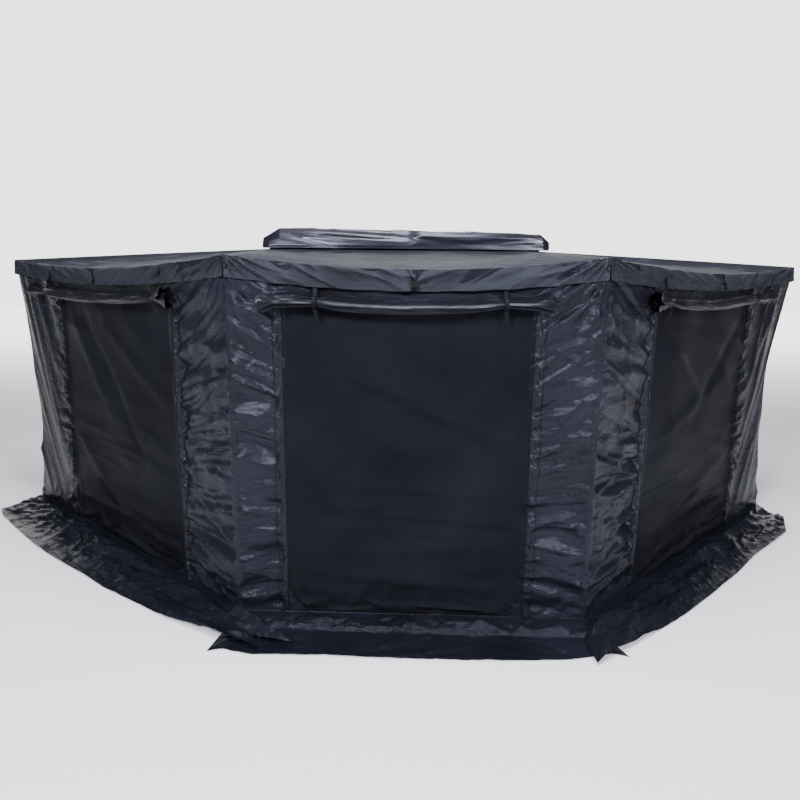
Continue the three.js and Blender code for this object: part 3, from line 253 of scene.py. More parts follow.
ROOF_CLOTH = woven("coated ripstop roof cloth", "#24262b", "#31333a", 0.6, 5, 60, 0.004, 0.06, ripstop_mm=16)
WALL_CLOTH = woven("coated oxford wall cloth", "#131319", "#1d1e27", 0.31, 4, 28, 0.0042, 0.17)
FLAP_CLOTH = woven("rolled flap cloth", "#0a0b10", "#13141a", 0.3, 4, 34, 0.001, 0.17)
DOOR_MESH = woven("fine black door cloth", "#121317", "#1a1b20", 0.34, 3, 90, 0.002, 0.012)
SKIRT_CLOTH = woven("coated skirt cloth", "#101117", "#1b1c24", 0.29, 5, 40, 0.009, 0.12)
COVER_CLOTH = woven("glossy coated cover cloth", "#0f1016", "#181a22", 0.3, 6, 160, 0.0002, 0.45, coat=0.1)
WEBBING = woven("black polyester webbing", "#07080a", "#0f1013", 0.6, 2.5, 30, 0.0006, 0.14)

# %% [markdown]
# ## Hard finishes
# The extrusions are black anodised, which keeps the die's fine lines. The brackets are powder
# coated, with a fine orange peel. Zinc-plated steel is duller and cloudier than bare steel, and
# moulded nylon has a faint sandy texture from its mould. The die's lines and the nylon's grain are
# drawn coarser than real ones, or they wouldn't show from here.

# %% Metal and plastic finishes
def lined_metal(name, stretch):
    """Anodised aluminium with the die's lines, which run along the axis of the small stretch."""
    looks = {"roughness": 0.38, "metallic": 0.85}
    material, tree, shader, place = patchy_material(name, "#2b2c2f", "#3a3b3f", 14.0, 4.0, **looks)
    drawn = add_node(tree, "Mapping", {"Vector": place, "Scale": stretch}).outputs["Vector"]
    lines = noise_of(tree, drawn, 1.2, Detail=2.0)
    relief = bump(tree, lines, 0.0002, 0.25)
    emboss(tree, shader, relief)
    uneven_gloss(tree, shader, lines, looks["roughness"], 0.07)
    return material


def grained(name, dark, light, roughness, grain_mm, depth, **looks):
    material, tree, shader, place = patchy_material(name, dark, light, 22.0, 4.0, roughness, **looks)
    relief = bump(tree, noise_of(tree, place, grain_mm, Detail=3.0), depth, 0.4)
    emboss(tree, shader, relief)
    return material


ANODISED = lined_metal("black anodised aluminium", (0.02, 1, 1))
ANODISED_ALONG_Y = lined_metal("black anodised aluminium arms", (1, 0.02, 1))
POWDER_COAT = grained("black powder coat", "#121214", "#1b1b1e", 0.45, 1.6, 0.0002)
ZINC = grained("zinc-plated steel", "#8d9095", "#a9abaf", 0.34, 5, 0.0001, metallic=0.95)
NYLON = grained("moulded black nylon", "#0b0b0d", "#131316", 0.5, 0.9, 0.0002, specular=0.1)
NICKEL = grained("dark nickel zip sliders", "#3c3e42", "#55575c", 0.3, 3, 0.0001, metallic=0.95)
print("materials:", len(bpy.data.materials))

# %% [markdown]
# ## The bare frame
# The metal and plastic pieces already have their true shape, so they only get their finishes.

# %% Finishes on the frame's own nodes
ALONG_X = ("back_plate", "arm_left_outer", "arm_right_outer", "leg_outer_left_outer", "leg_outer_right_outer")
FINISHES = (
    (ALONG_X, ANODISED),
    (("arm_", "leg_outer_"), ANODISED_ALONG_Y),
    (("rack_bracket", "hub_bracket"), POWDER_COAT),
    (("hub_pin", "leg_bolt", "leg_inner"), ZINC),
    (("zip_slider",), NICKEL),
    (("leg_lever", "foot", "valance_buckle", "corner_ring"), NYLON),
)
for name, node in frame["nodes"].items():
    finish = next((material for starts, material in FINISHES if name.startswith(starts)), None)
    if finish:
        paint(node, finish)

# %% [markdown]
# ## Sheets
# A sheet starts as a flat grid. Each vertex is moved to its place by a formula, which is how a
# pattern cutter thinks: so far along the cloth, so far down it. The grid's UV map is kept in metres
# of flat cloth, so threads and seams follow the sheet. Every sheet belongs to one side of the
# awning: it rides on that side's arm.

# %% Making sheets
def switch(mode):
    bpy.ops.object.mode_set(mode=mode)


def deselect():
    if bpy.context.object and bpy.context.object.mode != "OBJECT":
        switch("OBJECT")
    bpy.ops.object.select_all(action="DESELECT")


def new_object(name, data):
    made = bpy.data.objects.new(name, data)
    bpy.context.scene.collection.objects.link(made)
    return made


def activate(piece):
    deselect()
    piece.select_set(True)
    bpy.context.view_layer.objects.active = piece


def apply_modifier(piece, kind, **settings):
    activate(piece)
    modifier = piece.modifiers.new(kind.title(), kind)
    for key, value in settings.items():
        setattr(modifier, key, value)
    bpy.ops.object.modifier_apply(modifier=modifier.name)


def grid(name, columns, rows):
    """A flat grid with so many faces along the cloth and so many down it."""
    deselect()
    bpy.ops.mesh.primitive_grid_add(x_subdivisions=columns, y_subdivisions=rows, size=2)
    piece = bpy.context.object
    piece.name = piece.data.name = name
    return piece


def lay_out(piece, place, cloth_size):
    """Moves each vertex of a flat grid to its place, and scales the UV map to metres of cloth."""
    layer = piece.data.uv_layers["UVMap"]
    for loop in layer.data:
        loop.uv = (loop.uv[0] * cloth_size[0], loop.uv[1] * cloth_size[1])
    for vertex in piece.data.vertices:
        vertex.co = place((vertex.co.x + 1) / 2, (1 - vertex.co.y) / 2)
    piece.data.update()


def thicken(piece, millimetres, material):
    """Gives a piece its thickness to both sides, shades it smooth and paints it."""
    activate(piece)
    if millimetres:
        apply_modifier(piece, "SOLIDIFY", thickness=millimetres / 1000, offset=0)
    bpy.ops.object.shade_smooth_by_angle(angle=radians(50))
    paint(piece, material)
    print(piece.name, len(piece.data.polygons), "faces")


def wrinkle(x, y, seed):
    """Soft noise over the cloth, from -1 to 1."""
    return 1.6 * noise.noise(Vector((x, y, seed + 0.37)))


def pucker(x, y, seed):
    """Noise with sharp crests and round hollows, from about -1 to 1, as crumpled cloth has."""
    shift_x = 0.7 * noise.noise(Vector((x * 0.6, y * 0.6, seed + 50.2)))
    shift_y = 0.5 * noise.noise(Vector((x * 0.5, y * 0.8, seed + 80.7)))
    return 1 - 3.3 * abs(noise.noise(Vector((x + shift_x, y + shift_y, seed + 0.61))))


def crease(run, height, start, end, width):
    """How near a point of the cloth is to a crease that runs from start to end, from 0 to 1."""
    a, b, p = Vector(start), Vector(end), Vector((run, height))
    line = b - a
    share = min(1, max(0, (p - a).dot(line) / line.length_squared))
    distance = (p - a - line * share).length
    return exp(-((distance / width) ** 2)) * sin(pi * mix(0.12, 0.88, share))


# %% Sheets that go with their side
LEFT_FOLD, RIGHT_FOLD = "left_outer_arm_fold", "right_outer_arm_fold"
LEFT_PIN, RIGHT_PIN = HINGES["left_front_arm_fold"], HINGES["right_front_arm_fold"]
# Folded cloth hangs just in front of the folded arms, which cross each other behind it.
RIDES = {
    "left": ("arm_left_front", LEFT_FOLD, (1, 0, 0), (LEFT_PIN.x - 0.22, LEFT_PIN.y, LEFT_PIN.z)),
    "front": ("frame", LEFT_FOLD, (0, 1, 0), (0, RIGHT_PIN.y - 0.125, LEFT_PIN.z)),
    "right": ("arm_right_front", RIGHT_FOLD, (1, 0, 0), (RIGHT_PIN.x + 0.035, RIGHT_PIN.y, RIGHT_PIN.z)),
}


def go_with(piece, side, slot, *nodes):
    """The piece rides with its side of the awning, and stands for these nodes."""
    body, fold, axis, anchor = RIDES[side]
    if nodes:
        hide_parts(*nodes)
    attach(piece, body)
    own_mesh(piece)
    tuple(axis)
    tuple(anchor)


def sew(piece, place, flat, millimetres, material, side, slot, *nodes, held="hung", rests_on=None, area=None):
    """Lays a grid out as a sheet of cloth on its side of the awning. How it is held, hung from its wall by
    default, is not used.
    """
    lay_out(piece, place, flat)
    thicken(piece, millimetres, material)
    go_with(piece, side, slot, *nodes)


def by_side(side, left, front, right):
    return {"left": left, "front": front, "right": right}[side]


# %% [markdown]
# ## The canopy
# Three sectors of coated cloth are stretched between the rail and the arms. Pulled cloth creases
# along its pull: from the rail to the corners, and along the edges that sag between them. Each
# sector ends in a short hanging edge, the valance, whose hem is turned up and stitched.

# %% Canopy sectors
ROOF_SHARE = 0.84
CANOPY_THICKNESS = 1.4
CANOPY_DEPTH = 2.4
EDGE_ROUND = 0.022


def canopy_edge(side, share, out, drop):
    run = mix(0.001, side["length"] - 0.001, share)
    return on_side(side, run, out, CANOPY_CORNER - SAG * bow(share) - drop)


def corner_pull(run, length, drop):
    """Folds that fan out from the two pulled corners, for a place so far along and so far down."""
    total = 0
    for away in (run, length - run):
        angle = atan2(drop + 0.02, away + 0.03)
        reach = exp(-((away / 0.75) ** 2)) * smooth(0, 0.04, away)
        total += reach * (1 - 2 * abs(sin(angle * 13 + 0.8 * wrinkle(away * 5, drop * 8, 3))))
    return total


def roof_relief(side, across, down):
    run, length = across * side["length"], side["length"]
    over_arm = smooth(0, 0.035, min(across, 1 - across)) * smooth(0, 0.06, down)
    pulled = corner_pull(run, length, (1 - down) * 1.3)
    long_folds = pucker(run * 3.2 + down * 1.1, down * 1.3, 3)
    across_folds = wrinkle(run * 1.1, down * 7, 9)
    return (0.008 * pulled + 0.008 * long_folds + 0.006 * across_folds - 0.008 - 0.006 * bow(down)) * over_arm


def valance_out(side, run, share):
    """How far the hanging edge stands out: it swings in and out and is creased on the slant."""
    length = side["length"]
    near_end = min(1, 7 * min(run, length - run) / length)
    wave = cos(2 * pi * (run / length - 0.5) * length / 0.235)
    lean = share * (1 if run > length / 2 else -1)
    slant = pucker(run * 5.0 + lean * 1.5, share * 0.8, 5)
    small = pucker(run * 13 + lean * 2.4, share * 1.1, 17)
    pulled = corner_pull(run, length, share * VALANCE)
    hem = 0.0022 * smooth(0.6, 0.63, share) * (1 - smooth(0.66, 0.7, share))
    swing = share * (0.012 + 0.004 * wave * near_end)
    loose = bow(0.35 + share / 2)
    return swing + (0.016 * slant + 0.010 * small) * loose * near_end + 0.015 * pulled * loose - hem


def canopy_place(name, inner, bow_at):
    side = CANOPY[name]

    def place(across, down):
        run = across * side["length"]
        ends = smooth(0, 0.02, min(across, 1 - across))
        if down > ROOF_SHARE:
            share = (down - ROOF_SHARE) / (1 - ROOF_SHARE)
            drop = VALANCE * share
            turn = min(1, drop / (EDGE_ROUND * pi / 2)) * pi / 2
            rounded = EDGE_ROUND * (sin(turn) - 1)
            drop = drop - EDGE_ROUND * turn + EDGE_ROUND * (1 - cos(turn))
            hem = 0.0015 * sin(run * 31) * share
            return canopy_edge(side, across, rounded * ends + valance_out(side, run, share), drop + hem)
        share = down / ROOF_SHARE
        outer = canopy_edge(side, across, -EDGE_ROUND * ends, 0)
        point = inner(across).lerp(outer, share)
        point.y -= 0.026 * bow(share) * bow_at(across)
        point.z += roof_relief(side, across, share)
        return point

    return place


def on_rail(x):
    return Vector((x, PLATE_FACE - 0.003, RAIL))


def centre_inner(across):
    return on_rail(mix(-PLATE_HALF, PLATE_HALF, across))


def side_inner(handed):
    seam = CANOPY["front"]["from"] if handed < 0 else CANOPY["right"]["from"]
    high, start = on_rail(handed * (PLATE_HALF + 0.002)), on_rail(handed * PLATE_HALF)
    low = start.lerp(Vector((seam.x, seam.y, CANOPY_CORNER)), 0.07 / (seam - start.to_2d()).length)

    def inner(across):
        return low.lerp(high, 1 - across if handed < 0 else across)

    return inner


def make_sector(name, node, inner, bow_at, columns, area):
    piece = grid(f"canopy_{node}_cloth", columns, 110)
    place, flat = canopy_place(name, inner, bow_at), (CANOPY[name]["length"], CANOPY_DEPTH)
    hung = {"held": "stretched", "rests_on": "back_plate", "area": area}
    sew(piece, place, flat, CANOPY_THICKNESS, ROOF_CLOTH, name, "roof_cloth", "canopy_" + node, **hung)


make_sector("front", "centre", centre_inner, lambda a: 0, 190, 4.6)
make_sector("left", "left", side_inner(-1), lambda a: (1 - a) ** 2, 270, 2.9)
make_sector("right", "right", side_inner(1), lambda a: a**2, 270, 2.9)

# %% The webbing of the front buckle
def make_buckle_strap(handed):
    """One of the two narrow straps that run down the valance and meet at the buckle."""
    piece = grid("buckle_strap_" + ("left" if handed < 0 else "right"), 4, 16)
    surface = canopy_place("front", centre_inner, lambda a: 0)
    length = CANOPY["front"]["length"]

    def place(across, down):
        run = length / 2 + handed * mix(0.044, 0.006, down) + mix(-0.0055, 0.0055, across)
        share = mix(0.02, 0.56, down)
        return surface(run / length, ROOF_SHARE + (1 - ROOF_SHARE) * share) + Vector((0, -0.0035, 0.001))

    lay_out(piece, place, (0.011, 0.08))
    thicken(piece, 1.3, WEBBING)
    go_with(piece, "front", "black_plastic")


make_buckle_strap(-1)
make_buckle_strap(1)

# %% [markdown]
# ## Walls and doors
# A wall is one sheet with an opening for its door. The opening is cut while the sheet is still
# flat: a grid's faces are kept or deleted by their place, and the cut edge is drawn onto the door's
# outline. The door is the piece that falls out, so the folds run on across the zip.

# %% The walls' outlines
DOOR_SHARES = {"left": (0.286, 0.809), "front": (0.156, 0.811), "right": (0.19, 0.675)}
DOOR_LOW, DOOR_HIGH, DOOR_CORNER = GROUND + 0.062, GROUND + 1.742, 0.17
ZIP_BESIDE_DOOR = 0.01
WAIST = {"left": (0.175, 0.060), "right": (0.330, 0.200)}


def drawn_in(name, at_start, up):
    """How far a wall's free rear edge is drawn in, at a share of its height."""
    if (name, at_start) not in (("left", True), ("right", False)):
        return 0.001
    waist, foot = WAIST[name]
    return mix(foot, 0.01, up) + (waist - (foot + 0.01) / 2) * bow(up)


def on_wall(name, run, out, height):
    return on_side(WALLS[name], run, out, height)


def wall_top(name, run):
    return CANOPY_CORNER - SAG * bow(run / WALLS[name]["length"]) - 0.0022


def runs_of(shares, name):
    return [share * WALLS[name]["length"] for share in shares[name]]


def door_runs(name):
    return runs_of(DOOR_SHARES, name)


def zip_run(name):
    low, high = door_runs(name)
    return high + ZIP_BESIDE_DOOR if name == "left" else low - ZIP_BESIDE_DOOR


# %% The walls' folds
# Each crease: from run, height, to run, height, its width (m) and its depth (mm).
CREASES = {
    "left": [
        (0.1, 1.9, 0.62, 0.55, 0.05, 16), (0.22, 1.88, 0.8, 0.25, 0.04, 13),
        (0.35, 1.6, 0.98, 0.1, 0.035, 9), (1.0, 1.6, 1.55, 0.95, 0.06, 10),
        (1.2, 1.62, 1.95, 0.7, 0.05, -9), (1.5, 1.55, 2.3, 1.1, 0.05, 9), (1.0, 0.7, 1.6, 0.25, 0.06, 10),
        (2.5, 1.7, 2.62, 0.2, 0.03, 8), (2.75, 1.8, 2.8, 0.3, 0.03, -8),
    ],
    "front": [
        (0.3, 1.7, 1.25, 1.1, 0.1, 34), (0.36, 1.45, 1.4, 0.98, 0.06, -16),
        (0.62, 1.68, 1.54, 1.22, 0.05, 18), (0.9, 1.66, 1.56, 1.36, 0.04, 11),
        (0.4, 1.18, 1.3, 0.86, 0.05, 11), (1.0, 1.22, 1.56, 1.02, 0.035, 10),
        (0.36, 0.8, 1.56, 0.74, 0.035, 10), (0.38, 0.62, 1.56, 0.52, 0.035, -9),
        (0.4, 0.4, 1.55, 0.42, 0.04, 10), (0.36, 0.98, 0.8, 0.3, 0.05, 10),
        (1.55, 0.95, 1.18, 0.22, 0.05, -9), (0.45, 0.25, 1.4, 0.2, 0.03, 9),
    ],
    "right": [
        (2.82, 1.9, 2.05, 0.45, 0.05, 16), (2.72, 1.86, 2.0, 0.9, 0.04, 12),
        (2.6, 1.7, 1.95, 0.2, 0.035, 9), (1.9, 1.6, 1.2, 0.95, 0.06, -10),
        (1.85, 1.25, 0.8, 0.95, 0.05, 9), (0.7, 1.6, 1.3, 1.15, 0.05, 9), (1.8, 0.6, 0.85, 0.35, 0.05, 9),
        (0.3, 1.75, 0.24, 0.2, 0.03, 8), (0.46, 1.7, 0.48, 0.2, 0.03, -6),
    ],
}


def in_door(name, run, height):
    low, high = door_runs(name)
    across = smooth(low - 0.01, low + 0.04, run) * (1 - smooth(high - 0.04, high + 0.01, run))
    return across * smooth(DOOR_LOW, DOOR_LOW + 0.08, height)


def wall_relief(name, run, height):
    """How far the hung cloth stands out from its wall's line."""
    length = WALLS[name]["length"]
    up = (height - HEM) / (CANOPY_CORNER - HEM)
    door = in_door(name, run, height)
    seed = by_side(name, 1, 21, 41)
    z = height - GROUND
    low, high = door_runs(name)
    from_zip = min(abs(run - low), abs(run - high))
    away = min(run, length - run)
    from_seam = min(away, from_zip)
    folds = sum(depth * crease(run, z, line[:2], line[2:], width) for *line, width, depth in CREASES[name])
    slow = 0.006 * wrinkle(run * 0.9, z * 0.7, seed)
    flow = z + away * mix(-0.35, 0.9, up)
    drawn = 0.02 * pucker(run * 2.4, flow * 6.5, seed + 3) + 0.0075 * pucker(run * 3.6, flow * 15, seed + 5)
    gathered = 0.0065 * exp(-((from_seam / 0.08) ** 2)) * pucker(run * 4, z * 22, seed + 9)
    behind = {"left": 1 - smooth(low - 0.25, low, run), "right": smooth(high, high + 0.25, run)}.get(name, 0)
    slant = (run if name == "left" else length - run) * 0.92 + (z - 1.9) * 0.4
    hauled = 0.013 * pucker(slant * 5, z * 0.7, seed + 12) + 0.0015 * pucker(slant * 14, z * 3, seed + 14)
    low_down = 1 - smooth(0.5, 1.2, z)
    slack = 0.004 * low_down * pucker(run * 1.2, z * 9, seed + 10)
    soft = 0.007 * wrinkle(run * 1.7 + z * 0.8, z * 2.6 - run * 0.8, seed + 7)
    soft += 0.0035 * pucker(run * 2 + z * 1.5, z * 4.5, seed + 8) + slack
    drawn = mix(drawn + gathered - 0.002, hauled, behind)
    fan = 0
    for beside, sewn in ((run, name != "left"), (length - run, name != "right")):
        near = exp(-(((hypot(beside, 1.96 - z) - 0.22) / 0.2) ** 2))
        fan += sewn * near * cos(atan2(beside, 1.97 - z) * 19 + seed)
    foot = (1 - smooth(0.08, 0.3, z)) * pucker(run * 6, z * 8, seed + 16)
    relief = folds / 1000 + slow + mix(drawn, soft, door) + 0.008 * fan + 0.009 * foot
    slider = abs(run - zip_run(name))
    ends = smooth(0, 0.045, run) * smooth(0, 0.045, length - run)
    free = ends * smooth(0, 0.05, 1 - up) * smooth(0, 0.03, up)
    hushed = mix(0.3, 1, smooth(0, 0.06, from_zip)) * smooth(0.016, 0.05, slider)
    return (relief - 0.005) * free * hushed - 0.003 * door


def hang(piece, name):
    """Hangs a flat sheet on its wall's line, with the cloth's folds, and maps it in metres of cloth."""
    layer = piece.data.uv_layers["UVMap"]
    for loop in piece.data.loops:
        co = piece.data.vertices[loop.vertex_index].co
        layer.data[loop.index].uv = (co.x, co.z - GROUND)
    for vertex in piece.data.vertices:
        run, height = vertex.co.x, vertex.co.z
        vertex.co = on_wall(name, run, wall_relief(name, run, height), height)
    piece.data.update()


def onto_outline(name, run, height):
    """The point of the door's outline, with its rounded lower corners, that lies nearest."""
    low, high = door_runs(name)
    corner = DOOR_LOW + DOOR_CORNER
    if height < corner and not low + DOOR_CORNER < run < high - DOOR_CORNER:
        centre = Vector((low + DOOR_CORNER if run < (low + high) / 2 else high - DOOR_CORNER, corner))
        spot = centre + (Vector((run, height)) - centre).normalized() * DOOR_CORNER
        return spot.x, spot.y
    edges = [(abs(run - low), (low, height)), (abs(run - high), (high, height))]
    edges += [(abs(height - DOOR_LOW), (run, DOOR_LOW)), (abs(height - DOOR_HIGH), (run, DOOR_HIGH))]
    return min(edges)[1]


def inside_door(name, run, height):
    low, high = door_runs(name)
    if not (low < run < high and DOOR_LOW < height < DOOR_HIGH):
        return False
    across = max(low + DOOR_CORNER - run, run - high + DOOR_CORNER, 0)
    down = max(DOOR_LOW + DOOR_CORNER - height, 0)
    return hypot(across, down) < DOOR_CORNER


def flat_wall(name, label):
    length = WALLS[name]["length"]
    piece = grid(label, round(length / 0.0105), 184)
    for vertex in piece.data.vertices:
        up, across = (vertex.co.y + 1) / 2, (vertex.co.x + 1) / 2
        run = mix(drawn_in(name, True, up), length - drawn_in(name, False, up), across)
        vertex.co = (run, 0, mix(HEM, wall_top(name, run), up))
    return piece


def keep_faces(piece, name, keep_door):
    """Keeps the faces in the door's outline, or those outside, and draws their cut edge onto it."""
    mesh = piece.data
    inside = [inside_door(name, face.center.x, face.center.z) for face in mesh.polygons]
    seen = {}
    for face, within in zip(mesh.polygons, inside):
        for corner in face.vertices:
            seen.setdefault(corner, set()).add(within)
    for corner, kinds in seen.items():
        if len(kinds) == 2:
            co = mesh.vertices[corner].co
            co.x, co.z = onto_outline(name, co.x, co.z)
    activate(piece)
    switch("EDIT")
    bpy.ops.mesh.select_all(action="DESELECT")
    bpy.ops.mesh.select_mode(type="FACE")
    switch("OBJECT")
    for face, within in zip(mesh.polygons, inside):
        face.select = within != keep_door
    switch("EDIT")
    bpy.ops.mesh.delete(type="FACE")
    switch("OBJECT")


def make_wall(name, label, material):
    piece = flat_wall(name, f"{label}_{name}_cloth")
    keep_faces(piece, name, label == "door")
    flat_area = sum(face.area for face in piece.data.polygons)
    hang(piece, name)
    thicken(piece, 1.0, material)
    go_with(piece, name, label + "_cloth", f"{label}_{name}")
    canopy = "canopy_" + by_side(name, "left", "centre", "right") + "_cloth"
    print(piece.name, round(flat_area, 2), "square metres")


for name in WALLS:
    make_wall(name, "wall", WALL_CLOTH)
    make_wall(name, "door", DOOR_MESH)

# %% [markdown]
# ## Zips and gathered strips
# Each door closes with a coil zip round its sides and foot, on a narrow tape. Beside it runs a
# strip of cloth between two seams, which the stitching has gathered into small slanting puckers.
# Tapes and strips are narrow sheets laid on the wall's own folds. The coil is a round cord.

# %% Laying narrow pieces on a wall
STEP = 0.008


def door_edge(name, outside, top):
    """Points down one side of the door, round its foot and up the other side, a step apart."""
    low, high = door_runs(name)
    low, high, foot, corner = low - outside, high + outside, DOOR_LOW - outside, DOOR_CORNER + outside
    points = []

    def straight(start, end):
        steps = max(1, round((Vector(end) - Vector(start)).length / STEP))
        points.extend(Vector(start).lerp(Vector(end), i / steps) for i in range(steps))

    def turn(centre, start):
        steps = round(corner * pi / 2 / STEP)
        for i in range(steps):
            angle = start + pi / 2 * i / steps
            run, height = corner * cos(angle), corner * sin(angle)
            points.append(Vector((centre[0] + run, centre[1] + height)))

    straight((low, top), (low, foot + corner))
    turn((low + corner, foot + corner), pi)
    straight((low + corner, foot), (high - corner, foot))
    turn((high - corner, foot + corner), -pi / 2)
    straight((high, foot + corner), (high, top))
    return points


def follow(points):
    """The last step's number, and what finds the step, point and sideways direction at a share."""
    last = len(points) - 1

    def at(share):
        i = round(share * last)
        along = (points[min(i + 1, last)] - points[max(i - 1, 0)]).normalized()
        return i, points[i], Vector((along.y, -along.x))

    return last, at


def close_tube(piece):
    """Welds the seam of a grid that was wrapped into a tube, fills its two ends and turns it out."""
    activate(piece)
    switch("EDIT")
    bpy.ops.mesh.select_mode(type="VERT")
    bpy.ops.mesh.select_all(action="SELECT")
    bpy.ops.mesh.remove_doubles(threshold=0.00005)
    bpy.ops.mesh.select_all(action="DESELECT")
    bpy.ops.mesh.select_non_manifold(extend=False)
    bpy.ops.mesh.fill()
    bpy.ops.mesh.select_all(action="SELECT")
    bpy.ops.mesh.normals_make_consistent(inside=False)
    switch("OBJECT")


def round_cord(label, name, points, radius):
    """A nylon cord of six sides along points of the wall, lying on its folds."""
    last, at = follow(points)
    piece = grid(label, last, 6)

    def place(across, down):
        i, point, sideways = at(across)
        angle = 2 * pi * down
        teeth = radius * (1 + 0.12 * (i % 2))
        spot = point + sideways * teeth * cos(angle)
        base = wall_relief(name, point.x, point.y) + 0.0012
        return on_wall(name, spot.x, base + teeth * 0.5 * (1 + sin(angle)), spot.y)

    lay_out(piece, place, (last * STEP, 6 * radius))
    close_tube(piece)
    thicken(piece, 0, NYLON)
    go_with(piece, name, "black_plastic")


# %% Door zips
TAPE_WIDTH = 0.022


def make_zip(name):
    points = door_edge(name, ZIP_BESIDE_DOOR, DOOR_HIGH - 0.05)
    last, at = follow(points)
    piece = grid("zip_tape_" + name, last, 4)
    seed = by_side(name, 2, 4, 6)

    def place(across, down):
        i, point, sideways = at(across)
        beside = mix(-TAPE_WIDTH / 2, TAPE_WIDTH / 2, down)
        spot = point + sideways * beside * (1 + 0.15 * wrinkle(i * 0.11, 0, seed))
        return on_wall(name, spot.x, wall_relief(name, spot.x, spot.y) + 0.0013, spot.y)

    sew(piece, place, (last * STEP, TAPE_WIDTH), 0.5, WEBBING, name, "door_cloth")
    round_cord("zip_coil_" + name, name, points, 0.0022)


for name in WALLS:
    make_zip(name)

# %% Gathered strips beside the doors
STRIP_NEAR, STRIP_FAR = 0.020, 0.068


def make_strip(name, at_start):
    low, high = door_runs(name)
    edge, handed = (low, -1) if at_start else (high, 1)
    label = f"{name}_{'first' if at_start else 'second'}"
    piece = grid("gathered_strip_" + label, 10, 230)
    seed = by_side(name, 11, 14, 17) + at_start
    top, foot = DOOR_HIGH + 0.06, HEM + 0.006

    def sway(height):
        return 0.007 * wrinkle(height * 2.6, 0.3, seed) + 0.003 * wrinkle(height * 9, 0.7, seed + 1)

    def place(across, down):
        height = mix(top, foot, down)
        run = edge + handed * (mix(STRIP_NEAR, STRIP_FAR, across) + sway(height) * smooth(0, 0.5, across))
        puffed = 0.5 + 0.5 * pucker(across * 1.3, height * 19 + across * 1.8, seed + 3)
        out = wall_relief(name, run, height) + 0.0016 + 0.011 * puffed * bow(mix(0.06, 0.94, across))
        return on_wall(name, run, out, height)

    sew(piece, place, (STRIP_FAR - STRIP_NEAR, top - foot), 0.8, WALL_CLOTH, name, "wall_cloth")
    steps = round((top - foot) / STEP)
    for part, beside in (("inner", STRIP_NEAR - 0.002), ("outer", STRIP_FAR + 0.002)):
        line = []
        for i in range(steps + 1):
            height = mix(top, foot, i / steps)
            drift = sway(height) if part == "outer" else 0
            line.append(Vector((edge + handed * (beside + drift), height)))
        round_cord(f"strip_seam_{label}_{part}", name, line, 0.0028)


for name in WALLS:
    make_strip(name, True)
    make_strip(name, False)

# %% [markdown]
# ## Corner seams
# At the two front corners the side walls are sewn to the front wall. A narrow seam strip covers the
# join, so no light comes through, and its stitching draws the cloth into short puckers.

# %% Seams where the walls meet
def make_corner_seam(first, second, side):
    piece = grid(f"corner_seam_{first}_{second}", 10, 210)
    length = WALLS[first]["length"]

    def place(across, down):
        beside = mix(-0.03, 0.03, across)
        height = mix(wall_top(second, 0.0) - 0.004, HEM + 0.004, down)
        edge = abs(2 * across - 1)
        drawn = 0.0035 * (0.5 + 0.5 * pucker(across * 1.5, height * 21, 33)) * edge * (2 - 2 * edge)
        name, run = (first, length + beside) if beside < 0 else (second, beside)
        return on_wall(name, run, wall_relief(name, run, height) + 0.0015 + drawn, height)

    sew(piece, place, (0.06, 1.93), 0.8, WALL_CLOTH, side, "wall_cloth", rests_on="wall_front_cloth")


make_corner_seam("left", "front", "left")
make_corner_seam("front", "right", "right")

# %% [markdown]
# ## Rolled door flaps
# Above each door hangs its storm flap, rolled up and tied. A roll is one long sheet wound in a
# spiral, so it is drawn as one: the turns show at its flared ends. It was rolled loosely by hand, so
# it lies in flat layers with grooves between them. Two webbing ties pinch it.

# %% Rolled flaps and their ties
ROLL_SHARES = {"left": (0.16, 0.826), "front": (0.103, 0.85), "right": (0.154, 0.765)}
TIE_SHARES = {"left": (0.233, 0.776), "front": (0.24, 0.7375), "right": (0.217, 0.666)}
ROLL_RADIUS = 0.05
ROLL_HEIGHT = GROUND + 1.766
ROLL_TURNS = 2.3


def roll_radius(name, run):
    loose = min(1, min(abs(run - tie) for tie in runs_of(TIE_SHARES, name)) / 0.13)
    return ROLL_RADIUS * mix(0.55, 0.94, sin(loose * pi / 2))


def roll_centre(name, run):
    first, second = runs_of(TIE_SHARES, name)
    between = (run - first) / (second - first)
    return 0.0545, ROLL_HEIGHT - 0.024 * max(0, bow(between)) + 0.003 * wrinkle(run * 3.1, 0.2, 55)


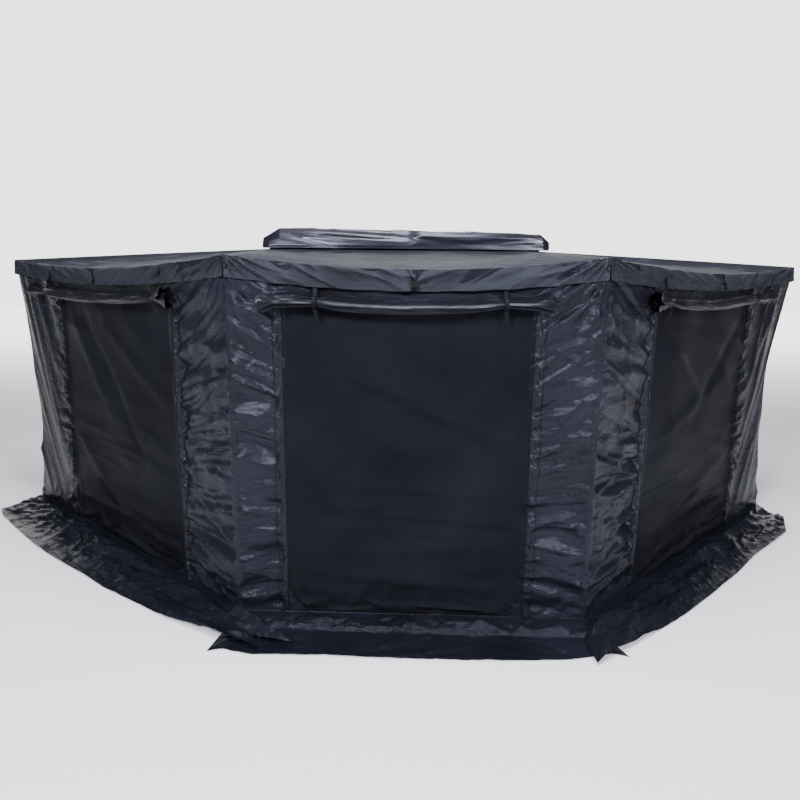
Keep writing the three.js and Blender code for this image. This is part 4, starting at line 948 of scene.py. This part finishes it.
def make_roll(name):
    start, end = runs_of(ROLL_SHARES, name)
    ties = runs_of(TIE_SHARES, name)
    columns, rows = round((end - start) / 0.012), 120
    piece = grid(f"door_roll_{name}_cloth", columns, rows)
    seed = by_side(name, 60, 70, 80)

    def place(across, down):
        run = mix(start, end, across)
        angle = radians(-35) + 2 * pi * ROLL_TURNS * down
        outer = roll_radius(name, run)
        from_end = min(run - start, end - run)
        loose_end = 1 - smooth(0, 0.11, from_end)
        gathered = 1 - smooth(0, 0.15, min(abs(run - tie) for tie in ties))
        drift = 0.9 * wrinkle(run * 1.1, 0.4, seed + 6)
        layer = 1 - abs(sin(3 * angle + drift)) ** 0.8
        pleat = 0.35 * gathered * cos(8 * angle + run * 9)
        rough = 0.06 * pucker(run * 3.5, angle * 0.9, seed) + 0.02 * pucker(run * 11, angle * 1.4, seed + 3)
        between = (run - ties[0]) / (ties[1] - ties[0])
        share = 0.70 + 0.30 * layer + rough * (1 - 0.5 * gathered) + 0.12 * pleat
        share += 0.2 * max(0, bow(between)) * max(0, -sin(angle))
        share += loose_end * (0.24 + 0.3 * wrinkle(angle * 0.8, run * 6, seed + 7))
        radius = outer * mix(1, 0.1, down) * share
        radius = max(0.003, min(radius, ROLL_RADIUS * 1.12))
        out, height = roll_centre(name, run)
        outwards = 1 if run - start > end - run else -1
        slip = outwards * loose_end * (0.028 * wrinkle(angle * 0.55, 0.1, seed + 9) + 0.04 * down)
        tall = 1 + 0.45 * (1 - smooth(0, 0.075, from_end))
        out += radius * cos(angle)
        return on_wall(name, run + slip, out, height + radius * tall * sin(angle))

    flat = (end - start, 2 * pi * ROLL_TURNS * ROLL_RADIUS * 0.6)
    sew(piece, place, flat, 0.9, FLAP_CLOTH, name, "wall_cloth", "door_roll_" + name, held="gathered")
    for number, tie in enumerate(ties):
        make_tie(name, number, tie)


def make_tie(name, number, run):
    """A webbing loop round the roll, hung from the wall's top seam, with a short loose end."""
    out, height = roll_centre(name, run)
    around = roll_radius(name, run) + 0.0025
    loop = grid(f"roll_tie_{name}_{number}", 6, 56)
    hung, wound, end = 0.22, 0.64, 0.14  # shares of its length

    def place(across, down):
        wide = mix(-0.01, 0.01, across)
        if down < hung:
            share = down / hung
            rise = mix(wall_top(name, run) - 0.012, height + around * 0.6, share)
            return on_wall(name, run + wide, mix(0.004, out - around * 0.55, share**2), rise)
        if down > 1 - end:
            share = (down - (1 - end)) / end
            drop = height - around - 0.055 * share
            loose = out - 0.01 + 0.006 * sin(share * 5)
            return on_wall(name, run + wide + 0.01 * share, loose, drop)
        angle = mix(radians(145), radians(-98), (down - hung) / wound)
        beside, above = around * cos(angle), around * sin(angle)
        return on_wall(name, run + wide, out + beside, height + above)

    lay_out(loop, place, (0.02, 0.32))
    thicken(loop, 1.5, WEBBING)
    go_with(loop, name, "black_plastic")


for name in WALLS:
    make_roll(name)

# %% [markdown]
# ## Ground skirts
# Loose cloth below each wall lies on the ground to keep out wind. It was folded for months, so it
# lies in sharp crumples, and where two skirts meet their cut ends make pointed corners.

# %% Skirts
SKIRT_WIDTH = 0.42
# The skirt's outer edge: a share of the wall's length, and the skirt's width there.
SKIRT_EDGES = {
    "left": [
        (0.04, 0.34), (0.11, 0.39), (0.37, 0.43), (0.7, 0.372), (0.9, 0.3), (1.045, 0.225), (1.13, 0.149),
    ],
    "front": [
        (-0.036, 0.355), (0.0, 0.335), (0.083, 0.375), (0.3, 0.372), (0.72, 0.371), (0.92, 0.341),
        (1.04, 0.285), (1.082, 0.305),
    ],
    "right": [
        (-0.1, 0.253), (-0.03, 0.29), (0.146, 0.338), (0.319, 0.357), (0.556, 0.346), (0.786, 0.35),
        (0.86, 0.27), (0.895, 0.24),
    ],
}


def skirt_width(name, share):
    edge = SKIRT_EDGES[name]
    for (a, wide_a), (b, wide_b) in zip(edge, edge[1:]):
        if share <= b:
            return mix(wide_a, wide_b, max(0, (share - a) / (b - a)))
    return edge[-1][1]


def make_skirt(name):
    side = WALLS[name]
    length = side["length"]
    seed = by_side(name, 90, 95, 99)
    # The foot of a wall's free rear edge is drawn in, and the skirt starts there.
    first, last = by_side(name, WAIST["left"][1], 0, 0), length - by_side(name, 0, 0, WAIST["right"][1])
    edge = SKIRT_EDGES[name]
    piece = grid(f"skirt_{name}_cloth", round(length / 0.0125), 44)

    def place(across, down):
        outer = mix(edge[0][0], edge[-1][0], across) * length
        run = mix(mix(first, last, across), outer, down)
        out = down**1.35 * skirt_width(name, outer / length)
        rise = max(0, 1 - out / 0.15) ** 1.7
        fade = min(1, across * 45, (1 - across) * 45) * min(1, down * 25)
        band = exp(-(((out - 0.075) / 0.05) ** 2))
        big = max(0, 0.3 + 0.7 * pucker(run * 2.9 + out * 2.5, out * 5.5 - run * 0.6, seed))
        small = 0.5 + 0.5 * pucker(run * 8.5 + out * 3, out * 13, seed + 2)
        tiny = 0.5 + 0.5 * pucker(run * 19, out * 26, seed + 4)
        outward = 1 - 0.75 * smooth(0.24, 0.35, out)
        if name == "front":
            outward = 1.2 - 0.85 * smooth(0.12, 0.16, out) + 0.25 * exp(-(((out - 0.14) / 0.006) ** 2))
        height = (0.024 * big + 0.016 * small + 0.010 * tiny) * outward + band * (0.012 + 0.012 * small)
        over_front = by_side(name, smooth(length - 0.35, length - 0.05, run), 0, 1 - smooth(0.05, 0.35, run))
        lift = 0.016 * over_front
        ground = GROUND + 0.0016 + lift * smooth(0, 0.2, down) + height * fade
        inner = min(1, across * 9, (1 - across) * 9)
        wavy = 0.008 * wrinkle(run * 2.3, 0.6, seed + 4) * smooth(0.3, 1, down) * inner
        if down < 0.001:
            return on_side(side, run, -0.003, HEM + 0.008)
        return on_side(side, run, max(0.001, out + wavy), mix(ground, HEM, rise))

    lay_out(piece, place, (length, SKIRT_WIDTH))
    thicken(piece, 1.0, SKIRT_CLOTH)
    go_with(piece, name, "skirt_cloth", "skirt_" + name)


for name in WALLS:
    make_skirt(name)

# %% The left skirt's tip, folded over the front skirt
TIP_TOP = Vector((0.01, 0.07))
TIP_SIDE = Vector((-0.07, 0.14))
TIP_END = Vector((0.36, 0.31))
TIP_BULGE = Vector((0.10, 0.27))


def make_skirt_tip():
    """A pointed flap of cloth. Its upper edge lies higher than its lower one, so it catches light."""
    piece = grid("skirt_left_tip_cloth", 40, 16)

    def place(across, down):
        upper = TIP_TOP.lerp(TIP_END, across)
        lower = TIP_SIDE.lerp(TIP_BULGE, across).lerp(TIP_BULGE.lerp(TIP_END, across), across)
        flat = upper.lerp(lower, down)
        crumple = 0.008 * pucker(flat.x * 16, flat.y * 19, 61) * bow(across)
        rise = mix(mix(0.108, 0.048, across), mix(0.034, 0.042, across), down)
        return on_wall("front", flat.x, flat.y, GROUND + rise + crumple)

    folded = {"held": "folded", "rests_on": "skirt_front_cloth", "area": 0.04}
    sew(piece, place, (0.42, 0.16), 1.0, WALL_CLOTH, "left", "skirt_cloth", **folded)


make_skirt_tip()

# %% [markdown]
# ## Hard parts on the cloth
# Buckles, rings and zip sliders are moulded or cast, and sewn or threaded on the cloth. They keep the
# frame's own shapes. Each has to go with its cloth when an arm folds, or it would hang in the air, so
# the buckles and rings are copied onto the moving arm. For each slider, the way to where its wall
# lies when folded is worked out and printed.

# %% Buckles and rings
def sew_on(name, side):
    """Copies the frame's part as one welded mesh of its own, which goes with the cloth."""
    node = frame["nodes"][name]
    piece = new_object(name + "_on_cloth", node.data.copy())
    piece.data.transform(node.matrix_world)
    activate(piece)
    switch("EDIT")
    bpy.ops.mesh.select_all(action="SELECT")
    bpy.ops.mesh.remove_doubles(threshold=0.00001)
    switch("OBJECT")
    go_with(piece, side, "black_plastic", name)


for name in WALLS:
    sew_on("valance_buckle_" + name, name)
sew_on("corner_ring_left", "left")
sew_on("corner_ring_right", "right")

# %% Zip sliders
FRONT_ARM_TURN = 1.527  # radians, or 87.5 degrees


def carry_slider(name):
    """The slider keeps its own body, for the zip, and the way to where its wall lies when folded is worked
    out.
    """
    body, fold, axis, anchor = RIDES[name]
    low, high = (Vector(corner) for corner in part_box("zip_slider_" + name))
    start = (low + high) / 2
    end = start.copy()
    if name == "front":
        end.y = anchor[1]
    else:
        end.x = anchor[0]
        pin, turn = (LEFT_PIN, FRONT_ARM_TURN) if name == "left" else (RIGHT_PIN, -FRONT_ARM_TURN)
        end = pin + Matrix.Rotation(turn, 3, "Z") @ (end - pin)
    slider, axis = frame["nodes"]["zip_slider_" + name], (end - start).normalized()
    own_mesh(slider)
    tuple(axis)
    print("zip slider", name, "goes", round((end - start).length, 2), "m with its wall")


for name in WALLS:
    carry_slider(name)

# %% [markdown]
# ## The travel cover
# The cover is an emptied sleeve of glossy coated cloth that lies over the back plate. Stiff cloth
# folds in flat facets, so its section has corners: an upright lower edge, a front that leans back, a
# narrow top. Its ends are folded in like a parcel's.

# %% Travel cover
COVER_LOW, COVER_HIGH = (Vector(corner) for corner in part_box("travel_cover"))
# The section's corners, as shares of its depth and height, and where they lie along its outline.
LEANING = ((1, 0), (1, 0.16), (0.86, 0.5), (0.56, 0.96), (0.44, 1), (0.12, 0.97), (0, 0.75), (0, 0))
UPRIGHT = ((1, 0), (1, 0.4), (0.97, 0.68), (0.84, 0.95), (0.62, 1), (0.12, 0.97), (0, 0.75), (0, 0))
STOPS = (0, 0.1, 0.24, 0.46, 0.53, 0.7, 0.8, 1)


def along_section(corners, share):
    for i, (stop, following) in enumerate(zip(STOPS, STOPS[1:])):
        if share <= following:
            return Vector(corners[i]).lerp(Vector(corners[i + 1]), (share - stop) / (following - stop))
    return Vector(corners[-1])


def make_cover():
    low, high = COVER_LOW, COVER_HIGH
    size = high - low
    centre = (low.x + high.x) / 2 + 0.012
    half = size.x / 2 + 0.04
    piece = grid("travel_cover_cloth", 230, 90)
    underside = 0.84

    def place(across, down):
        x = mix(centre - half, centre + half, across)
        from_end = half - abs(x - centre)
        chamfer = 0.5 + 0.5 * min(1, from_end / (0.135 if x < centre else 0.075))
        if down > underside:
            deep, up = (down - underside) / 0.16, 0
        else:
            leaning, upright = (along_section(corners, down / underside) for corners in (LEANING, UPRIGHT))
            deep, up = leaning.lerp(upright, smooth(0, 0.16, x))
        tall = size.z * mix(1.16, 1.0, smooth(-0.9, 1.1, x)) * chamfer
        facet = pucker(x * 1.15 + up * 0.9, up * 1.5 + 0.4, 120)
        small = pucker(x * 4.2, up * 3.2, 126)
        lean = (0.008 * facet + 0.001 * small) * bow(min(1, up * 0.9 + 0.05)) * (deep > 0.3)
        tucked = 0.02 * (1 - min(1, from_end / 0.05))
        y = high.y - (high.y - low.y) * deep + lean + tucked * (deep - 0.5) * 2
        wave = 0.006 * wrinkle(x * 2.2, 0.5, 131)
        ripple = 0.004 * small * smooth(0.7, 1.0, up) + wave * smooth(0.6, 1, up)
        return Vector((x, y, low.z + max(0.0, tall * up + ripple)))

    lay_out(piece, place, (2 * half, 0.55))
    close_tube(piece)
    thicken(piece, 0, COVER_CLOTH)
    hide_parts("travel_cover")
    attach(piece, "frame")


make_cover()

# %% [markdown]
# ## Floor, light and camera
# A pale floor, a bright backdrop behind the awning and a darker room in front of it, with soft lamps
# high up: black cloth only shows its folds where it mirrors something bright. The camera stands
# where the photographer stood: at head height, a little to the left, looking slightly down.

# %% Studio
def along_y(tree, coordinates):
    place = add_node(tree, "TexCoord").outputs[coordinates]
    return add_node(tree, "SeparateXYZ", {"Vector": place}).outputs["Y"]


def make_studio():
    deselect()
    bpy.ops.mesh.primitive_plane_add(size=60, location=(0, 0, GROUND - 0.0005))
    floor = bpy.context.object
    floor.name = "studio_floor"
    pale, tree, shader = new_material("pale studio floor", "#f8f8f8", 0.8)
    far = along_y(tree, "Object")
    brighter = {"Value": far, "From Min": 0.5, "From Max": 16.0, "To Min": 0.0, "To Max": 2.75}
    glow = add_node(tree, "MapRange", brighter, interpolation_type="SMOOTHSTEP")
    shader.inputs["Emission Color"].default_value = (1, 1, 1, 1)
    tree.links.new(glow.outputs["Result"], shader.inputs["Emission Strength"])
    paint(floor, pale)
    for label, place, aim, size, power in (
        ("key", (-2.8, -7.0, 3.0), (-0.4, -1.8, -1.1), 1.6, 700),
        ("fill", (3.6, -7.0, 2.6), (0.6, -1.8, -1.1), 1.6, 560),
        ("top", (0, -2.5, 4.5), (0, -1.7, 0), 2.4, 410),
    ):
        lamp = bpy.data.lights.new(label, "AREA")
        lamp.energy, lamp.size = power, size
        lamp.color = srgb("#f3f4ff")[:3]
        holder = new_object(label, lamp)
        holder.location = place
        holder.rotation_euler = (Vector(aim) - Vector(place)).to_track_quat("-Z", "Y").to_euler()
    world = bpy.data.worlds.new("studio")
    world.use_nodes = True
    tree = world.node_tree
    ahead = along_y(tree, "Generated")
    bright = {"Value": ahead, "From Min": 0.64, "From Max": 0.79, "To Min": 0.13, "To Max": 2.9}
    behind = add_node(tree, "MapRange", bright)
    tree.nodes["Background"].inputs["Color"].default_value = (1, 1, 1, 1)
    tree.links.new(behind.outputs["Result"], tree.nodes["Background"].inputs["Strength"])
    bpy.context.scene.world = world


make_studio()

# %% Camera
PICTURE_PIXELS = 800
FOCAL_PIXELS, PITCH, ROLL, YAW = 632.5, 0.1936, 0.0095, -0.0189
CAMERA_PLACE = Vector((-0.1316, PLATE_FACE - 5.4256, GROUND + 1.9006))


def make_camera():
    ahead = Vector((-sin(YAW), cos(YAW), 0))
    right = Vector((cos(YAW), sin(YAW), 0))
    forward = ahead * cos(PITCH) - Vector((0, 0, sin(PITCH)))
    up = ahead * sin(PITCH) + Vector((0, 0, cos(PITCH)))
    rolled_right = right * cos(ROLL) + up * sin(ROLL)
    rolled_up = up * cos(ROLL) - right * sin(ROLL)
    camera = bpy.data.cameras.new("photographer")
    camera.lens = FOCAL_PIXELS / PICTURE_PIXELS * camera.sensor_width
    camera.clip_end = 200
    holder = bpy.context.scene.camera = new_object("photographer", camera)
    turned = Matrix((rolled_right, rolled_up, -forward)).transposed()
    holder.matrix_world = Matrix.Translation(CAMERA_PLACE) @ turned.to_4x4()


make_camera()
